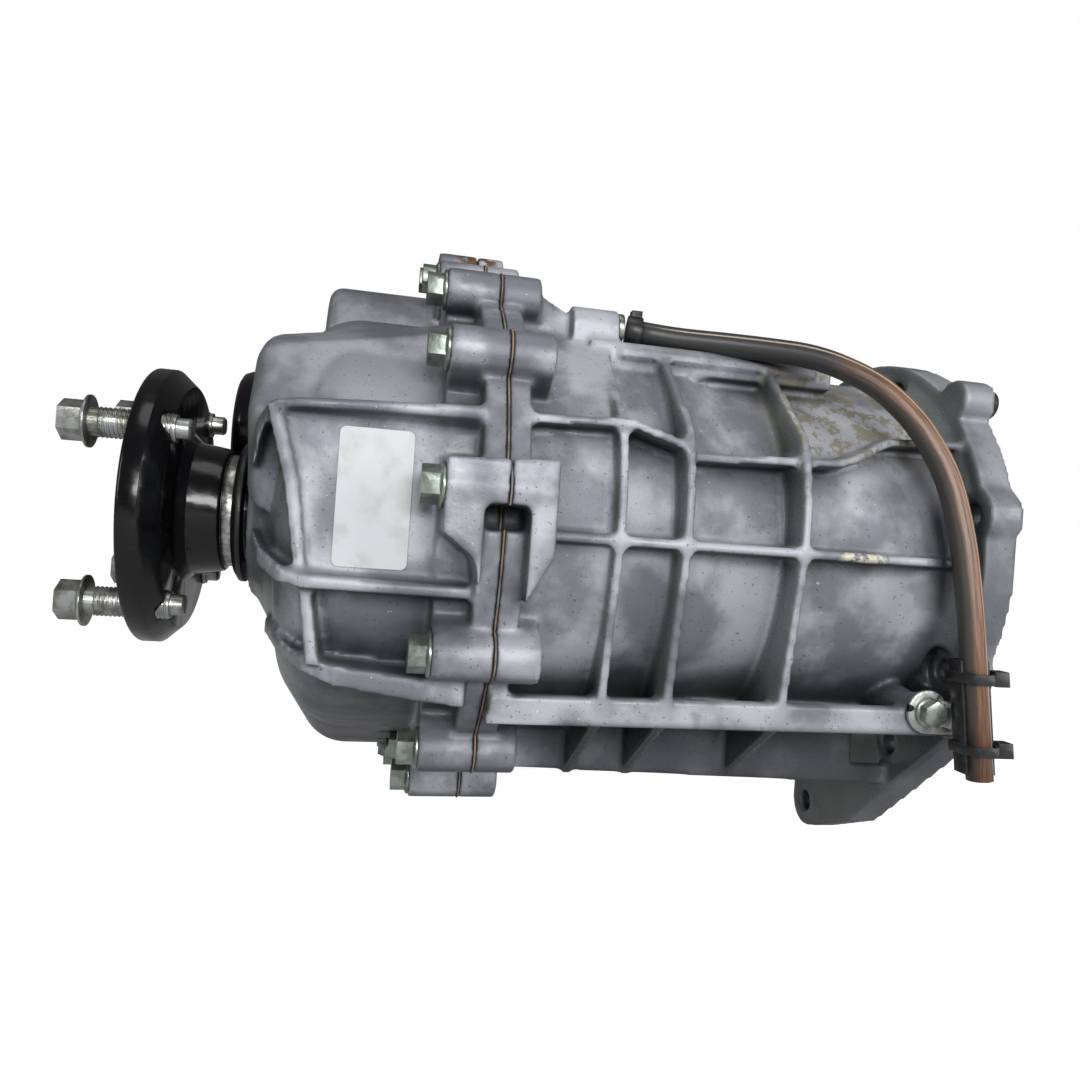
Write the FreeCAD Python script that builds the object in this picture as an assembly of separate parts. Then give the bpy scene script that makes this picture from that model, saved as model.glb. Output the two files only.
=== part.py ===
import FreeCAD, Part
import math
import os
from FreeCAD import Vector

# Two-speed, chain-drive transfer case for a pick-up truck. All sizes in millimetres.
# Frame: the origin is the centre of the transmission register bore, on the mounting face.
# +X points forward out of that face, +Y to the chain side, +Z up.
# Stations called ..._x lie along the main shaft; the rear output flange is at the negative end.

# ---- Overall layout -------------------------------------------------------------------------
split_x = -227.0            # joint plane of the two case halves
output_face_x = -377.0      # rear face of the rear output flange
collar_x = -330.0           # rear end of the case, round the output seal
front_y = 150.0             # front output axis
front_z = -85.0
shift_y = 70.0              # centre of the shift housing lobe
shift_z = 92.0
motor_y = 80.0              # shift motor and cam axis
motor_z = 42.0
sealant_t = 0.6             # bead between the halves
run_gap = 0.05              # radial clearance of running and seated fits
free_gap = 0.4              # gap between pieces that pass but don't bear

# ---- Case halves ----------------------------------------------------------------------------
case_wall = 5.5
case_r = 95.0               # skin round the main axis, at the joint
front_lobe_r = 60.0         # skin round the front output
shift_lobe_r = 40.0         # skin round the shift rail
joint_rim = 17.0            # how far the joint flange stands off the skin
joint_flange_t = 9.0
dome_x = -315.0             # rear wall of the rear case
dome_round = 30.0           # radius of its rear corner
front_lobe_x = -195.0       # front wall of the chain housing
bolt_circle_r = case_r + 19.0
boss_r = 10.0
rear_boss_len = 24.0
front_boss_len = 18.0
rib_t = 4.0
rib_edge_y = -case_r - 11.0  # near edge of the tallest ribs

# ---- Transmission mounting plate ------------------------------------------------------------
plate_t = 16.0
plate_r = 103.0
register_r = 64.0           # register bore
register_depth = 10.0
bell_r = 70.0               # bell cavity behind the register
bell_x = -107.0             # floor of the bell cavity
bearing_web_x = -118.0      # rear face of the web behind it
plate_hole_r = 5.5
plate_boss_r = 14.0
foot_y = 33.0               # lowest bolt lug
foot_z = -146.0
foot_r = 14.0

# ---- Output flange and its bolts ------------------------------------------------------------
output_flange_r = 63.5
output_rim_t = 8.5
output_flange_t = 16.0
output_hub_r = 31.0
output_hub_end_x = -343.0
output_journal_r = 24.0
pilot_r = 32.0
pilot_depth = 5.0
output_pcd = 108.0
output_bolt_turn = 8.0      # the bolt square is turned by this many degrees
output_bolt_r = 6.0
output_bolt_shank = 34.0
output_bolt_seat_x = -393.5
spacer_ring_r = 26.5
spacer_ring_t = 5.0
dust_ring_r = 33.5
dust_ring_t = 4.5

# ---- Shafts, bearings and seals -------------------------------------------------------------
shaft_r = 20.0
shaft_spline_r = 17.5
shaft_thread_r = 12.0
shaft_pilot_r = 14.0
rear_bearing_r = 40.0
rear_bearing_w = 18.0
rear_bearing_x = -320.0
rear_seal_r = 33.0
rear_seal_w = 8.0
input_shaft_r = 27.5
input_bore_r = 18.0
input_bore_mouth_r = 19.5
input_bore_depth = 62.0
input_nose_x = -75.0
input_bearing_r = 50.0
input_bearing_w = 21.0
input_bearing_x = -155.0
input_seal_r = 42.0
input_seal_w = 9.0
front_shaft_r = 17.5
front_spline_r = 14.0
front_thread_r = 10.0
front_flange_r = 50.0
front_flange_t = 10.0
front_flange_x = -170.0
front_pcd = 82.0
front_hole_r = 5.2
front_journal_r = 22.0
front_bearing_r = 36.0
front_bearing_w = 17.0
front_bearing_x = -219.0
front_seal_r = 32.0
front_seal_w = 8.0
pocket_bearing_r = 26.0
pocket_bearing_w = 14.0
pocket_bearing_x = -294.0

# ---- Planetary gear set ---------------------------------------------------------------------
gear_module = 2.0
sun_teeth = 42
planet_teeth = 14
planet_count = 4
planet_x = -193.0
planet_w = 24.0
carrier_gap = 1.0
tooth_backlash = 0.6
ring_gear_r = 80.0
planet_pin_r = 6.0
carrier_plate_t = 6.0
carrier_r = 66.0
carrier_back_x = -212.0
dog_teeth = 32              # dog teeth that couple the range collar to the carrier
dog_root_r = 34.0
dog_tip_r = 36.5
dog_gap = 0.3
nose_teeth = 24             # splines that couple the range collar to the input shaft
nose_root_r = 24.5
nose_tip_r = 26.0

# ---- Chain drive ----------------------------------------------------------------------------
sprocket_teeth = 28
sprocket_tip_r = 44.0
sprocket_root_r = 39.5
sprocket_w = 32.0
sprocket_x = -279.0
chain_w = 28.0
chain_t = 6.0

# ---- Shift mechanism ------------------------------------------------------------------------
rail_r = 8.0
rail_y = 62.0
rail_z = 96.0
rail_back_x = -305.0
rail_front_x = -194.0
hub_r = 34.0
hub_groove_r = 29.0
hub_w = 10.0
range_hub_x = -222.5
mode_hub_x = -246.5
range_travel = 8.0
fork_t = 4.0
cam_r = 12.0
cam_front_x = -229.5
cam_shaft_r = 7.0
motor_r = 38.0
motor_base_x = -320.0
motor_back_x = motor_base_x - 33.0
motor_plate_t = 5.0


def x_axis():
    return Vector(1, 0, 0)


def rod(x0, x1, r, y=0.0, z=0.0):
    """Cylinder along X."""
    return Part.makeCylinder(r, x1 - x0, Vector(x0, y, z), x_axis())


def ring(x0, x1, r_out, r_in, y=0.0, z=0.0):
    """Plain ring along X."""
    return rod(x0, x1, r_out, y, z).cut(rod(x0 - 1, x1 + 1, r_in, y, z))


def turned(profile, y=0.0, z=0.0):
    """Solid of revolution about an axis along X. The profile is a list of (x, radius)."""
    points = [Vector(x, y, z + r) for x, r in profile]
    face = Part.Face(Part.makePolygon(points + points[:1]))
    return face.revolve(Vector(0, y, z), x_axis(), 360)


def prism_x(points, x0, x1):
    """Polygon of (y, z) points carried from x0 to x1."""
    corners = [Vector(x0, y, z) for y, z in points]
    return Part.Face(Part.makePolygon(corners + corners[:1])).extrude(Vector(x1 - x0, 0, 0))


def prism_y(points, y0, y1):
    """Polygon of (x, z) points carried from y0 to y1."""
    corners = [Vector(x, y0, z) for x, z in points]
    return Part.Face(Part.makePolygon(corners + corners[:1])).extrude(Vector(0, y1 - y0, 0))


def prism_z(points, z0, z1):
    """Polygon of (x, y) points carried from z0 to z1."""
    corners = [Vector(x, y, z0) for x, y in points]
    return Part.Face(Part.makePolygon(corners + corners[:1])).extrude(Vector(0, 0, z1 - z0))


def block(x0, x1, y0, y1, z0, z1):
    return Part.makeBox(x1 - x0, y1 - y0, z1 - z0, Vector(x0, y0, z0))


def belt_wire(x, c1, r1, c2, r2):
    """Outline of a belt round two circles in a plane across X."""
    dy = c2[0] - c1[0]
    dz = c2[1] - c1[1]
    lean = math.atan2(dz, dy)
    open_angle = math.acos((r1 - r2) / math.hypot(dy, dz))

    def at(centre, r, angle):
        return Vector(x, centre[0] + r * math.cos(angle), centre[1] + r * math.sin(angle))

    high = lean + open_angle
    low = lean - open_angle
    edges = [Part.LineSegment(at(c1, r1, high), at(c2, r2, high)),
             Part.Arc(at(c2, r2, high), at(c2, r2, lean), at(c2, r2, low)),
             Part.LineSegment(at(c2, r2, low), at(c1, r1, low)),
             Part.Arc(at(c1, r1, low), at(c1, r1, lean + math.pi), at(c1, r1, high))]
    return Part.Wire([edge.toShape() for edge in edges])


def belt(x0, x1, c1, r1, c2, r2):
    """Solid between x0 and x1 with a belt's outline."""
    return Part.Face(belt_wire(x0, c1, r1, c2, r2)).extrude(Vector(x1 - x0, 0, 0))


def round_end(solid, x, radius):
    """Rounds the outline of a solid's flat end at x."""
    edges = [edge for edge in solid.Edges if abs(edge.BoundBox.XMin - x) < 0.01 and abs(edge.BoundBox.XMax - x) < 0.01]
    return solid.makeFillet(radius, edges)


def fused(solids):
    """One clean solid from many."""
    whole = solids[0].multiFuse(solids[1:])
    return whole.removeSplitter()


main_axis = (0.0, 0.0)
front_axis = (front_y, front_z)
shift_axis = (shift_y, shift_z)


def polar(centre, r, degrees):
    angle = math.radians(degrees)
    return (centre[0] + r * math.cos(angle), centre[1] + r * math.sin(angle))


def case_bolt_places():
    """Case bolts, counted from the top of the near side downwards and round the far side."""
    near = [polar(main_axis, bolt_circle_r, 180 - angle) for angle in (66, 37, 7, -26, -57)]
    near.append(polar(main_axis, bolt_circle_r + 8, -96.5))
    far_r = front_lobe_r + 7
    far = [polar(front_axis, far_r, angle) for angle in (-100, -55, -10, 40)]
    floor = [polar(main_axis, bolt_circle_r + 18, -68), polar(main_axis, bolt_circle_r + 58, -54)]
    top_r = shift_lobe_r + 13
    top = [polar(shift_axis, top_r + 5, 139), polar(shift_axis, top_r, 80), polar(shift_axis, top_r, 15)]
    return near + floor + far + top


bolt_places = case_bolt_places()
case_bolt_collar_r = 8.8
dowel_r = 5.0
dowel_len = 16.0
dowel_places = [polar(main_axis, 105, 159), polar(front_axis, front_lobe_r + 8, -30)]
motor_bolt_places = [polar((motor_y, motor_z), motor_r + 9, angle) for angle in (75, -15, -75)]
plug_r = 9.0
plug_seat_x = -321.0
fill_place = (108.0, -58.0)
drain_x = -252.0
drain_y = front_y + 13.0
drain_seat_z = front_z - front_lobe_r - 4.0


def halves_outline(x0, x1, grow):
    """Prism with the outline that both case halves share, grown or shrunk by grow."""
    shift_part = belt(x0, x1, main_axis, case_r + grow, shift_axis, shift_lobe_r + grow)
    chain_part = belt(x0, x1, main_axis, case_r + grow, front_axis, front_lobe_r + grow)
    return shift_part.fuse(chain_part)


def bolt_bosses(x0, x1):
    """Bosses of the case bolts, each tied back to the wall."""
    bosses = []
    for y, z in bolt_places:
        reach = math.hypot(y, z)
        toward = main_axis
        if y > front_y - front_lobe_r and z < 0:
            toward = front_axis
        if z > shift_z:
            toward = shift_axis
        dy = toward[0] - y
        dz = toward[1] - z
        length = math.hypot(dy, dz)
        root = (y + dy / length * 22, z + dz / length * 22)
        bosses.append(belt(x0, x1, (y, z), boss_r, root, boss_r - 1))
    return bosses


def bolt_holes(x0, x1, r):
    return [rod(x0, x1, r, y, z) for y, z in bolt_places]


# Near-side block across the joint, with the window between its two legs
block_back_x = split_x - 24.0
block_front_x = split_x + 18.0
block_y = -case_r - 27.0
window_back_x = split_x - 9.0
window_front_x = split_x + 8.0
window_top_z = 8.0


def near_block():
    """Arched block round the near-side bolt: two legs and a bar over a window."""
    outline = [(block_back_x, 24), (block_front_x, 26), (block_front_x, -10), (window_front_x, -27),
               (window_front_x, window_top_z), (window_back_x, window_top_z), (window_back_x, -27),
               (block_back_x + 12, -12), (block_back_x, -3)]
    return prism_y(outline, block_y, -95.0)


# ---- Rear case ------------------------------------------------------------------------------
upper_box_x = -328.0
upper_box_near_y = -62.0
upper_box_top_z = 75.0
upper_box_rise = 17.0
rib_end_x = split_x - 9.0
rail_box_x = -308.0
panel_y = -case_r - 3.0


def rear_dome(grow):
    """Round rear body and chain housing, larger by grow."""
    back = dome_x - grow
    chain_part = belt(back, split_x, main_axis, case_r + grow, front_axis, front_lobe_r + grow)
    return round_end(chain_part, back, dome_round)


def rear_collar():
    """Turned collar that carries the output bearing and seal."""
    profile = [(collar_x, 0), (collar_x, rear_seal_r + 6), (collar_x + 3, rear_seal_r + 8), (collar_x + 9, 51),
               (collar_x + 15, 68), (collar_x + 26, 80), (collar_x + 26, 0)]
    return turned(profile)


def upper_box():
    """Boxed shoulder over the collar, on the near side. It rises towards the joint."""
    near = upper_box_near_y
    ends = []
    for x, top in ((upper_box_x, upper_box_top_z), (split_x, upper_box_top_z + upper_box_rise)):
        outline = [(near - 18, 40), (near, top - 7), (near + 14, top), (32, top + 5), (36, 0), (near, 0)]
        corners = [Vector(x, y, z) for y, z in outline]
        ends.append(Part.makePolygon(corners + corners[:1]))
    return round_end(Part.makeLoft(ends, True, True), upper_box_x, 11)


def rail_box():
    """Housing of the shift rail."""
    housing = belt(rail_box_x, split_x, (40, 40), 40, shift_axis, shift_lobe_r - 2)
    return round_end(housing, rail_box_x, 7)


def fin(side, plan):
    """Rib with the outline side, (x, z), seen from the near side and plan, (x, y), seen from above."""
    return prism_y(side, -case_r - 30, 0).common(prism_z(plan, -case_r, case_r))


def rear_ribs():
    """Ribs of the near side: one over and one under the label's panel, and a low one."""
    edge = rib_edge_y
    high = fin([(-327, 18), (-323, 34), (-317, 41), (-305, 42.5), (rib_end_x, 46), (rib_end_x, 41), (-305, 38.5),
                (-315, 37), (-319, 31), (-322, 18)],
               [(-327, -40), (-327, -62), (-322, edge + 22), (-314, edge + 6), (-304, edge + 1), (rib_end_x, edge + 2),
                (rib_end_x, -40)])
    under = prism_x([(edge + 2.5, 41), (panel_y, 36.5), (-60, 36.5), (-60, 41)], -314, rib_end_x)
    panel = prism_y([(-315, 40), (rib_end_x, 40), (rib_end_x, -23), (-302, -23), (-307, 12)], panel_y, -40)
    ridge = prism_y([(-317, 40), (-312, 40), (-304, 12), (-299, -23), (-303, -23), (-309, 12)], panel_y - 3, -40)
    middle = fin([(-326, -5), (-318, -13), (-308, -20), (-300, -22), (rib_end_x, -23.5), (rib_end_x, -28.5),
                  (-300, -27.5), (-310, -25.5), (-318, -20), (-326, -12)],
                 [(-326, -40), (-324, -66), (-318, edge + 16), (-308, edge + 4), (-298, edge), (rib_end_x, edge),
                  (rib_end_x, -40)])
    post = prism_y([(-302, -26), (-297, -26), (-292, -57), (-297, -57)], panel_y + 1, -40)
    low = fin([(-320, -44), (-303, -53), (-292, -56), (-254, -60), (rib_end_x, -61.5), (rib_end_x, -71),
               (-254, -69.5), (-287, -64.5), (-299, -60.5), (-310, -56), (-320, -50)],
              [(-320, -20), (-318, -50), (-310, -74), (-299, -90), (-287, edge + 10), (rib_end_x, edge + 8),
               (rib_end_x, -20)])
    return [high, under, panel, ridge, middle, post, low]


def make_rear_case():
    face_x = split_x - sealant_t
    parts = [rear_dome(0.0), rear_collar(), upper_box(), rail_box(),
             halves_outline(face_x - joint_flange_t, face_x, joint_rim), near_block(),
             belt(motor_base_x, split_x, (motor_y, motor_z), 30, (40, 20), 40)]
    parts += rear_ribs() + bolt_bosses(split_x - rear_boss_len, face_x) + top_lug(lug_back_x, face_x)
    parts += [belt(motor_base_x, -280, place, 9, (motor_y, motor_z), 25) for place in motor_bolt_places]
    parts.append(rod(plug_seat_x, dome_x + case_wall + 3, 15, *fill_place))
    parts.append(Part.makeCylinder(13, 12, Vector(drain_x, drain_y, drain_seat_z)))
    shell = fused(parts)
    inside = belt(dome_x + case_wall + 3, split_x + 1, main_axis, case_r - case_wall,
                  front_axis, front_lobe_r - case_wall)
    inside = round_end(inside, dome_x + case_wall + 3, dome_round - case_wall)
    rail_room = belt(rail_box_x + case_wall, split_x + 1, (40, 40), 34, shift_axis, shift_lobe_r - case_wall - 2)
    front_of_joint = block(face_x, split_x + 200, -400, 400, -400, 400)
    tools = [inside, rail_room, front_of_joint, window_pocket(),
             rod(dome_x + case_wall + 3, split_x + 1, cam_r + 3, motor_y, motor_z),
             rod(rail_back_x - 0.5, rail_back_x + 20, rail_r + run_gap, rail_y, rail_z),
             rod(collar_x - 5, rear_bearing_x - 2, rear_seal_r + run_gap),
             rod(rear_bearing_x - 3, dome_x + 20, rear_bearing_r + run_gap),
             rod(motor_base_x - 10, dome_x + 20, cam_r + free_gap, motor_y, motor_z)]
    tools += bolt_holes(split_x - 60, split_x + 60, 4.3)
    tools += [rod(split_x - rear_boss_len - 14, split_x - rear_boss_len, case_bolt_collar_r + 0.7, y, z)
              for y, z in bolt_places]
    tools += [rod(split_x - dowel_len / 2, split_x, dowel_r + run_gap, y, z) for y, z in dowel_places]
    tools += [rod(motor_base_x - 1, motor_base_x + 16, 3.05, y, z) for y, z in motor_bolt_places]
    tools.append(rod(plug_seat_x - 1, dome_x + 20, plug_r + run_gap, *fill_place))
    tools.append(Part.makeCylinder(plug_r + run_gap, 20, Vector(drain_x, drain_y, drain_seat_z - 1)))
    shell = shell.cut(tools)
    pocket = ring(dome_x + 4, pocket_bearing_x + pocket_bearing_w, pocket_bearing_r + 6,
                  pocket_bearing_r + run_gap, front_y, front_z)
    rail_seat = ring(rail_back_x, rail_back_x + 10, rail_r + 6, rail_r + run_gap, rail_y, rail_z)
    seat = ring(rear_bearing_x, rear_bearing_x + rear_bearing_w, rear_bearing_r + 7, rear_bearing_r + run_gap)
    return fused([shell, pocket, rail_seat, seat])


# ---- Front case -----------------------------------------------------------------------------
ledge_z = 83.0
ledge_y = -60.0
shelf_z = -76.0
shelf_y = -93.0
keel_y = -42.0
keel_z = -111.0
cross_ribs_x = (-180.0, -152.0, -101.0)


def barrel():
    """Turned skin of the front case, from the joint to the mounting plate."""
    profile = [(split_x, 0), (split_x, case_r), (-142, case_r - 1), (-118, 88), (-105, 80), (-42, 78),
               (-28, 84), (-20, 92), (-15, 99), (-15, 0)]
    return turned(profile)


def cross_rib(x):
    """Rib across the barrel on the near side, from the ledge down to the keel."""
    outline = [(-10, 60), (ledge_y + 2, ledge_z), (-98, 47), (-103, 34), (rib_edge_y, 16), (rib_edge_y, -2),
               (-99, -40), (shelf_y, shelf_z), (keel_y, keel_z), (-10, -60)]
    return prism_x(outline, x - rib_t / 2, x + rib_t / 2)


def long_ribs():
    """Ribs that run along the barrel: ledge, two upper ribs, main rib, shelf and keel."""
    half = rib_t / 2
    ledge = prism_z([(-216, -20), (-186, -48), (-172, ledge_y), (-78, ledge_y), (-66, -40), (-66, -20)],
                    ledge_z - half, ledge_z + half)
    short = prism_y([(split_x, 45), (-176, 47), (-154, 40), (-154, 36), (-176, 43), (split_x, 41)], -102, -60)
    wave = prism_y([(-152, 36), (-84, 39), (-66, 46), (-54, 52), (-15, 54), (-15, 50), (-54, 48), (-66, 42),
                    (-84, 35), (-152, 32)], -99, -50)
    wave = wave.cut(prism_z([(-76, -110), (-76, -99), (-60, -88), (-14, -84), (-14, -110)], 20, 70))
    main = prism_z([(split_x, -60), (split_x, rib_edge_y), (-46, rib_edge_y), (-30, -96), (-15, -92), (-15, -60)],
                   -half - 2, half - 2)
    shelf = prism_z([(split_x, 0), (split_x, shelf_y), (-15, shelf_y), (-15, 0)], shelf_z - half, shelf_z + half)
    keel = prism_y([(split_x, -60), (split_x, keel_z + 3), (-15, keel_z - 3), (-15, -60)],
                   keel_y - half, keel_y + half)
    return [ledge, short, wave, main, shelf, keel]


def far_ribs():
    """Plain ribs of the far side and the top, as on any such casting."""
    ribs = []
    for degrees in (20, 55, -62):
        y, z = polar(main_axis, 88, degrees)
        rib = block(split_x, -15, 60, 100, -rib_t / 2, rib_t / 2)
        rib.rotate(Vector(0, 0, 0), x_axis(), degrees)
        ribs.append(rib)
    return ribs


nose_mid_x = -196.0
nose_tip_x = -140.0


def shift_nose():
    """Shift housing of the front case, tapering forward into the barrel."""
    root = belt(split_x, nose_mid_x, (40, 40), 40, shift_axis, shift_lobe_r)
    back = Part.Wire(Part.makeCircle(shift_lobe_r, Vector(nose_mid_x, shift_y, shift_z), x_axis()))
    tip = Part.Wire(Part.makeCircle(24, Vector(nose_tip_x, 34, 56), x_axis()))
    return [root, Part.makeLoft([back, tip], True, True)]


def chain_nose():
    """Front wall of the chain housing and the boss of the front output bearing."""
    wall = belt(split_x, front_lobe_x, main_axis, case_r - 4, front_axis, front_lobe_r)
    wall = round_end(wall, front_lobe_x, 12)
    boss = turned([(split_x, 0), (split_x, 50), (front_lobe_x, 48), (front_lobe_x + 10, 42), (front_lobe_x + 12, 40),
                   (front_lobe_x + 12, 0)], front_y, front_z)
    return [wall, boss]


plate_holes = [(-92, 20), (-81, -51), (-43, -93), (foot_y, foot_z), (-30, 84), (52, 74), (90, 12), (76, -56)]
plate_skirt = [(-60, 0), (-93.5, -40), (-93.5, -76), (-15, -142), (24, -158), (foot_y + 5, foot_z - 13),
               (foot_y + foot_r, foot_z), (foot_y + foot_r, -80), (40, 0)]
plug_place = (-74, 74)


def mounting_plate():
    """Plate that bolts to the transmission, with its lugs."""
    parts = [rod(-plate_t, 0, plate_r)]
    parts.append(prism_x(plate_skirt, -plate_t, 0))
    for y, z in plate_holes:
        parts.append(rod(-plate_t, 0, plate_boss_r, y, z))
    parts.append(rod(-plate_t, 0, 10, plug_place[0], plug_place[1]))
    return parts


bracket_x = -33.0
bracket_z = -67.0
vent_y = -46.0
vent_z = case_r + 1.0
vent_x = -172.0


def vent_boss():
    """Boss of the vent and the web that slopes down to it from the joint."""
    web = prism_y([(split_x, 112), (split_x + 8, 112), (vent_x - 14, 95), (vent_x, 87), (vent_x + 22, 84),
                   (vent_x + 22, 60), (split_x, 60)], vent_y - 3, vent_y + 3)
    foot = prism_x([(vent_y - 8, vent_z), (vent_y + 8, vent_z), (vent_y + 14, 70), (vent_y - 8, 70)],
                   vent_x - 22, vent_x)
    return [web, rod(vent_x - 22, vent_x, 8, vent_y, vent_z), foot]


lug_y = 78.0                # carrying lug on top of the shift housing
lug_z = 150.0
lug_back_x = split_x - 22.0
lug_front_x = split_x + 15.0


def top_lug(x0, x1):
    """Lug on top of the shift housing, on either side of the joint."""
    return [belt(x0, x1, (lug_y - 6, lug_z), 9, (lug_y + 6, lug_z), 9),
            block(x0, x1, lug_y - 15, lug_y + 15, 112, lug_z)]


def window_pocket():
    """Hollow behind the window of the near-side block."""
    return block(window_back_x, window_front_x, block_y - 3, -101, window_top_z - 9, window_top_z)


def make_front_case():
    parts = [barrel(), halves_outline(split_x, split_x + joint_flange_t, joint_rim), near_block()]
    parts += shift_nose() + chain_nose() + mounting_plate() + long_ribs() + far_ribs()
    parts += [cross_rib(x) for x in cross_ribs_x]
    parts += bolt_bosses(split_x, split_x + front_boss_len)
    parts.append(Part.makeCylinder(8, 40, Vector(bracket_x, -94, bracket_z), Vector(0, 1, 0)))
    parts += vent_boss() + top_lug(split_x, lug_front_x)
    shell = fused(parts)
    behind_joint = block(split_x - 200, split_x, -400, 400, -400, 400)
    gear_room = rod(split_x - 1, -162, ring_gear_r + run_gap)
    chain_room = belt(split_x - 1, front_lobe_x - case_wall, main_axis, 82, front_axis, front_lobe_r - case_wall - 4)
    rail_room = belt(split_x - 1, rail_front_x - 8, (40, 40), 34, shift_axis, shift_lobe_r - case_wall - 2)
    bell = turned([(bell_x, 0), (bell_x, 60), (bell_x + 8, bell_r), (-24, bell_r), (-register_depth, register_r + 4),
                   (-register_depth, 0)])
    tools = [behind_joint, gear_room, chain_room, rail_room, bell, window_pocket(),
             rod(split_x, rail_front_x, rail_r + run_gap, rail_y, rail_z),
             rod(-register_depth - 1, 1, register_r),
             ring(-163, bearing_web_x, 78, input_bearing_r + 9),
             rod(-170, input_bearing_x + input_bearing_w, input_bearing_r + run_gap),
             rod(input_bearing_x, bell_x + 1, input_seal_r + run_gap),
             rod(front_bearing_x - 20, front_bearing_x + front_bearing_w, front_bearing_r + run_gap, front_y, front_z),
             rod(front_bearing_x, front_lobe_x + 20, front_seal_r + run_gap, front_y, front_z),
             rod(vent_x - 12, vent_x + 1, 4.5, vent_y, vent_z),
             Part.makeCylinder(3, 20, Vector(bracket_x, -95, bracket_z), Vector(0, 1, 0))]
    tools += bolt_holes(split_x - 60, split_x + 14, 4.05)
    tools += [rod(-plate_t - 14, 1, plate_hole_r, y, z) for y, z in plate_holes]
    tools += [rod(-plate_t - 20, -plate_t, plate_boss_r - 3, y, z) for y, z in plate_holes]
    tools += [rod(split_x - 1, split_x + dowel_len / 2, dowel_r + run_gap, y, z) for y, z in dowel_places]
    tools.append(rod(-8, 1, 5.0, plug_place[0], plug_place[1]))
    shell = shell.cut(tools)
    return shell


# ---- Fasteners ------------------------------------------------------------------------------
def hexagon(across_flats, x0, x1, y=0.0, z=0.0):
    """Hexagonal bar along X."""
    corner_r = across_flats / math.sqrt(3)
    return prism_x([polar((y, z), corner_r, 30 + 60 * side) for side in range(6)], x0, x1)


def flange_screw(seat_x, shank_r, shank, flats, head, collar_r, y=0.0, z=0.0):
    """Hex flange screw that points along +X, with its head behind seat_x."""
    collar_t = 2.0
    flange = turned([(seat_x, 0), (seat_x, collar_r), (seat_x - collar_t / 2, collar_r),
                     (seat_x - collar_t, collar_r - 2), (seat_x - collar_t, 0)], y, z)
    grip = hexagon(flats, seat_x - head, seat_x - collar_t / 2, y, z)
    return fused([flange, grip, rod(seat_x - 1, seat_x + shank, shank_r, y, z)])


def toward_near_side(shape, x, z, y):
    """Turns a piece made along +X at the origin so that it points along +Y from (x, y, z)."""
    shape.rotate(Vector(0, 0, 0), Vector(0, 0, 1), 90)
    shape.translate(Vector(x, y, z))
    return shape


case_bolt_r = 4.0
case_bolt_shank = 37.0
case_bolt_flats = 13.0
case_bolt_head = 8.5


def make_case_bolts():
    seat = split_x - rear_boss_len
    return Part.makeCompound([flange_screw(seat, case_bolt_r, case_bolt_shank, case_bolt_flats, case_bolt_head,
                                           case_bolt_collar_r, y, z) for y, z in bolt_places])


def make_dowels():
    half = dowel_len / 2
    return Part.makeCompound([rod(split_x - half, split_x + half, dowel_r, y, z) for y, z in dowel_places])


def make_sealant():
    back = split_x - sealant_t
    bead = fused([halves_outline(back, split_x, joint_rim + 0.4)] +
                 [rod(back, split_x, boss_r + 0.4, y, z) for y, z in bolt_places])
    inner = halves_outline(back - 1, split_x + 1, 1.0)
    dowels = [rod(back - 1, split_x + 1, dowel_r + run_gap, y, z) for y, z in dowel_places]
    return bead.cut([inner, window_pocket()] + dowels + bolt_holes(back - 1, split_x + 1, case_bolt_r + 0.3))


def make_plug(seat_x, y, z):
    """Oil plug with a hexagon head, pointing along +X."""
    body = rod(seat_x - 1, seat_x + 12, plug_r, y, z)
    collar = rod(seat_x - 3, seat_x, plug_r + 3, y, z)
    return fused([body, collar, hexagon(19, seat_x - 9, seat_x - 2, y, z)])


def make_drain_plug():
    plug = make_plug(0.0, 0.0, 0.0)
    plug.rotate(Vector(0, 0, 0), Vector(0, 1, 0), -90)
    plug.translate(Vector(drain_x, drain_y, drain_seat_z))
    return plug


# ---- Rotating bearings and seals ------------------------------------------------------------
def ball_bearing(x0, width, r_in, r_out, y=0.0, z=0.0):
    """Shielded bearing: the shields stand back from both faces between the two races."""
    step = 1.2
    race = (r_out - r_in) * 0.25
    outside = [(x0, r_in), (x0, r_in + race), (x0 + step, r_in + race), (x0 + step, r_out - race),
               (x0, r_out - race), (x0, r_out - 0.8), (x0 + 0.8, r_out)]
    back = [(2 * x0 + width - x, r) for x, r in reversed(outside)]
    return turned(outside + back, y, z)


def lip_seal(x0, width, r_in, r_out, y=0.0, z=0.0):
    """Rotary seal, open towards the oil side at x0."""
    profile = [(x0, r_out), (x0 + width, r_out), (x0 + width, r_in), (x0 + width - 5, r_in),
               (x0 + width - 5, r_in + 2), (x0 + width - 2, r_in + 2), (x0 + width - 2, r_out - 2), (x0, r_out - 2)]
    return turned(profile, y, z)


# ---- Toothed pieces -------------------------------------------------------------------------
def tooth_outline(teeth, low_r, low_half, high_r, high_half, turn, y=0.0, z=0.0):
    """Closed list of (y, z) round a toothed wheel; the halves are half tooth widths."""
    points = []
    for number in range(teeth):
        middle = turn + 2 * math.pi * number / teeth
        for r, half in ((low_r, -low_half), (high_r, -high_half), (high_r, high_half), (low_r, low_half)):
            angle = middle + half / r
            points.append((y + r * math.cos(angle), z + r * math.sin(angle)))
    return points


def spline_outline(teeth, root_r, tip_r, gap):
    """Outline of a straight-sided spline, grown all round by gap to make its socket."""
    pitch = 2 * math.pi * root_r / teeth
    low_half = pitch * 0.26 + gap * 0.6
    high_half = pitch * 0.2 + gap * 0.6
    return tooth_outline(teeth, root_r + gap, low_half, tip_r + gap, high_half, 0.0)


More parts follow.
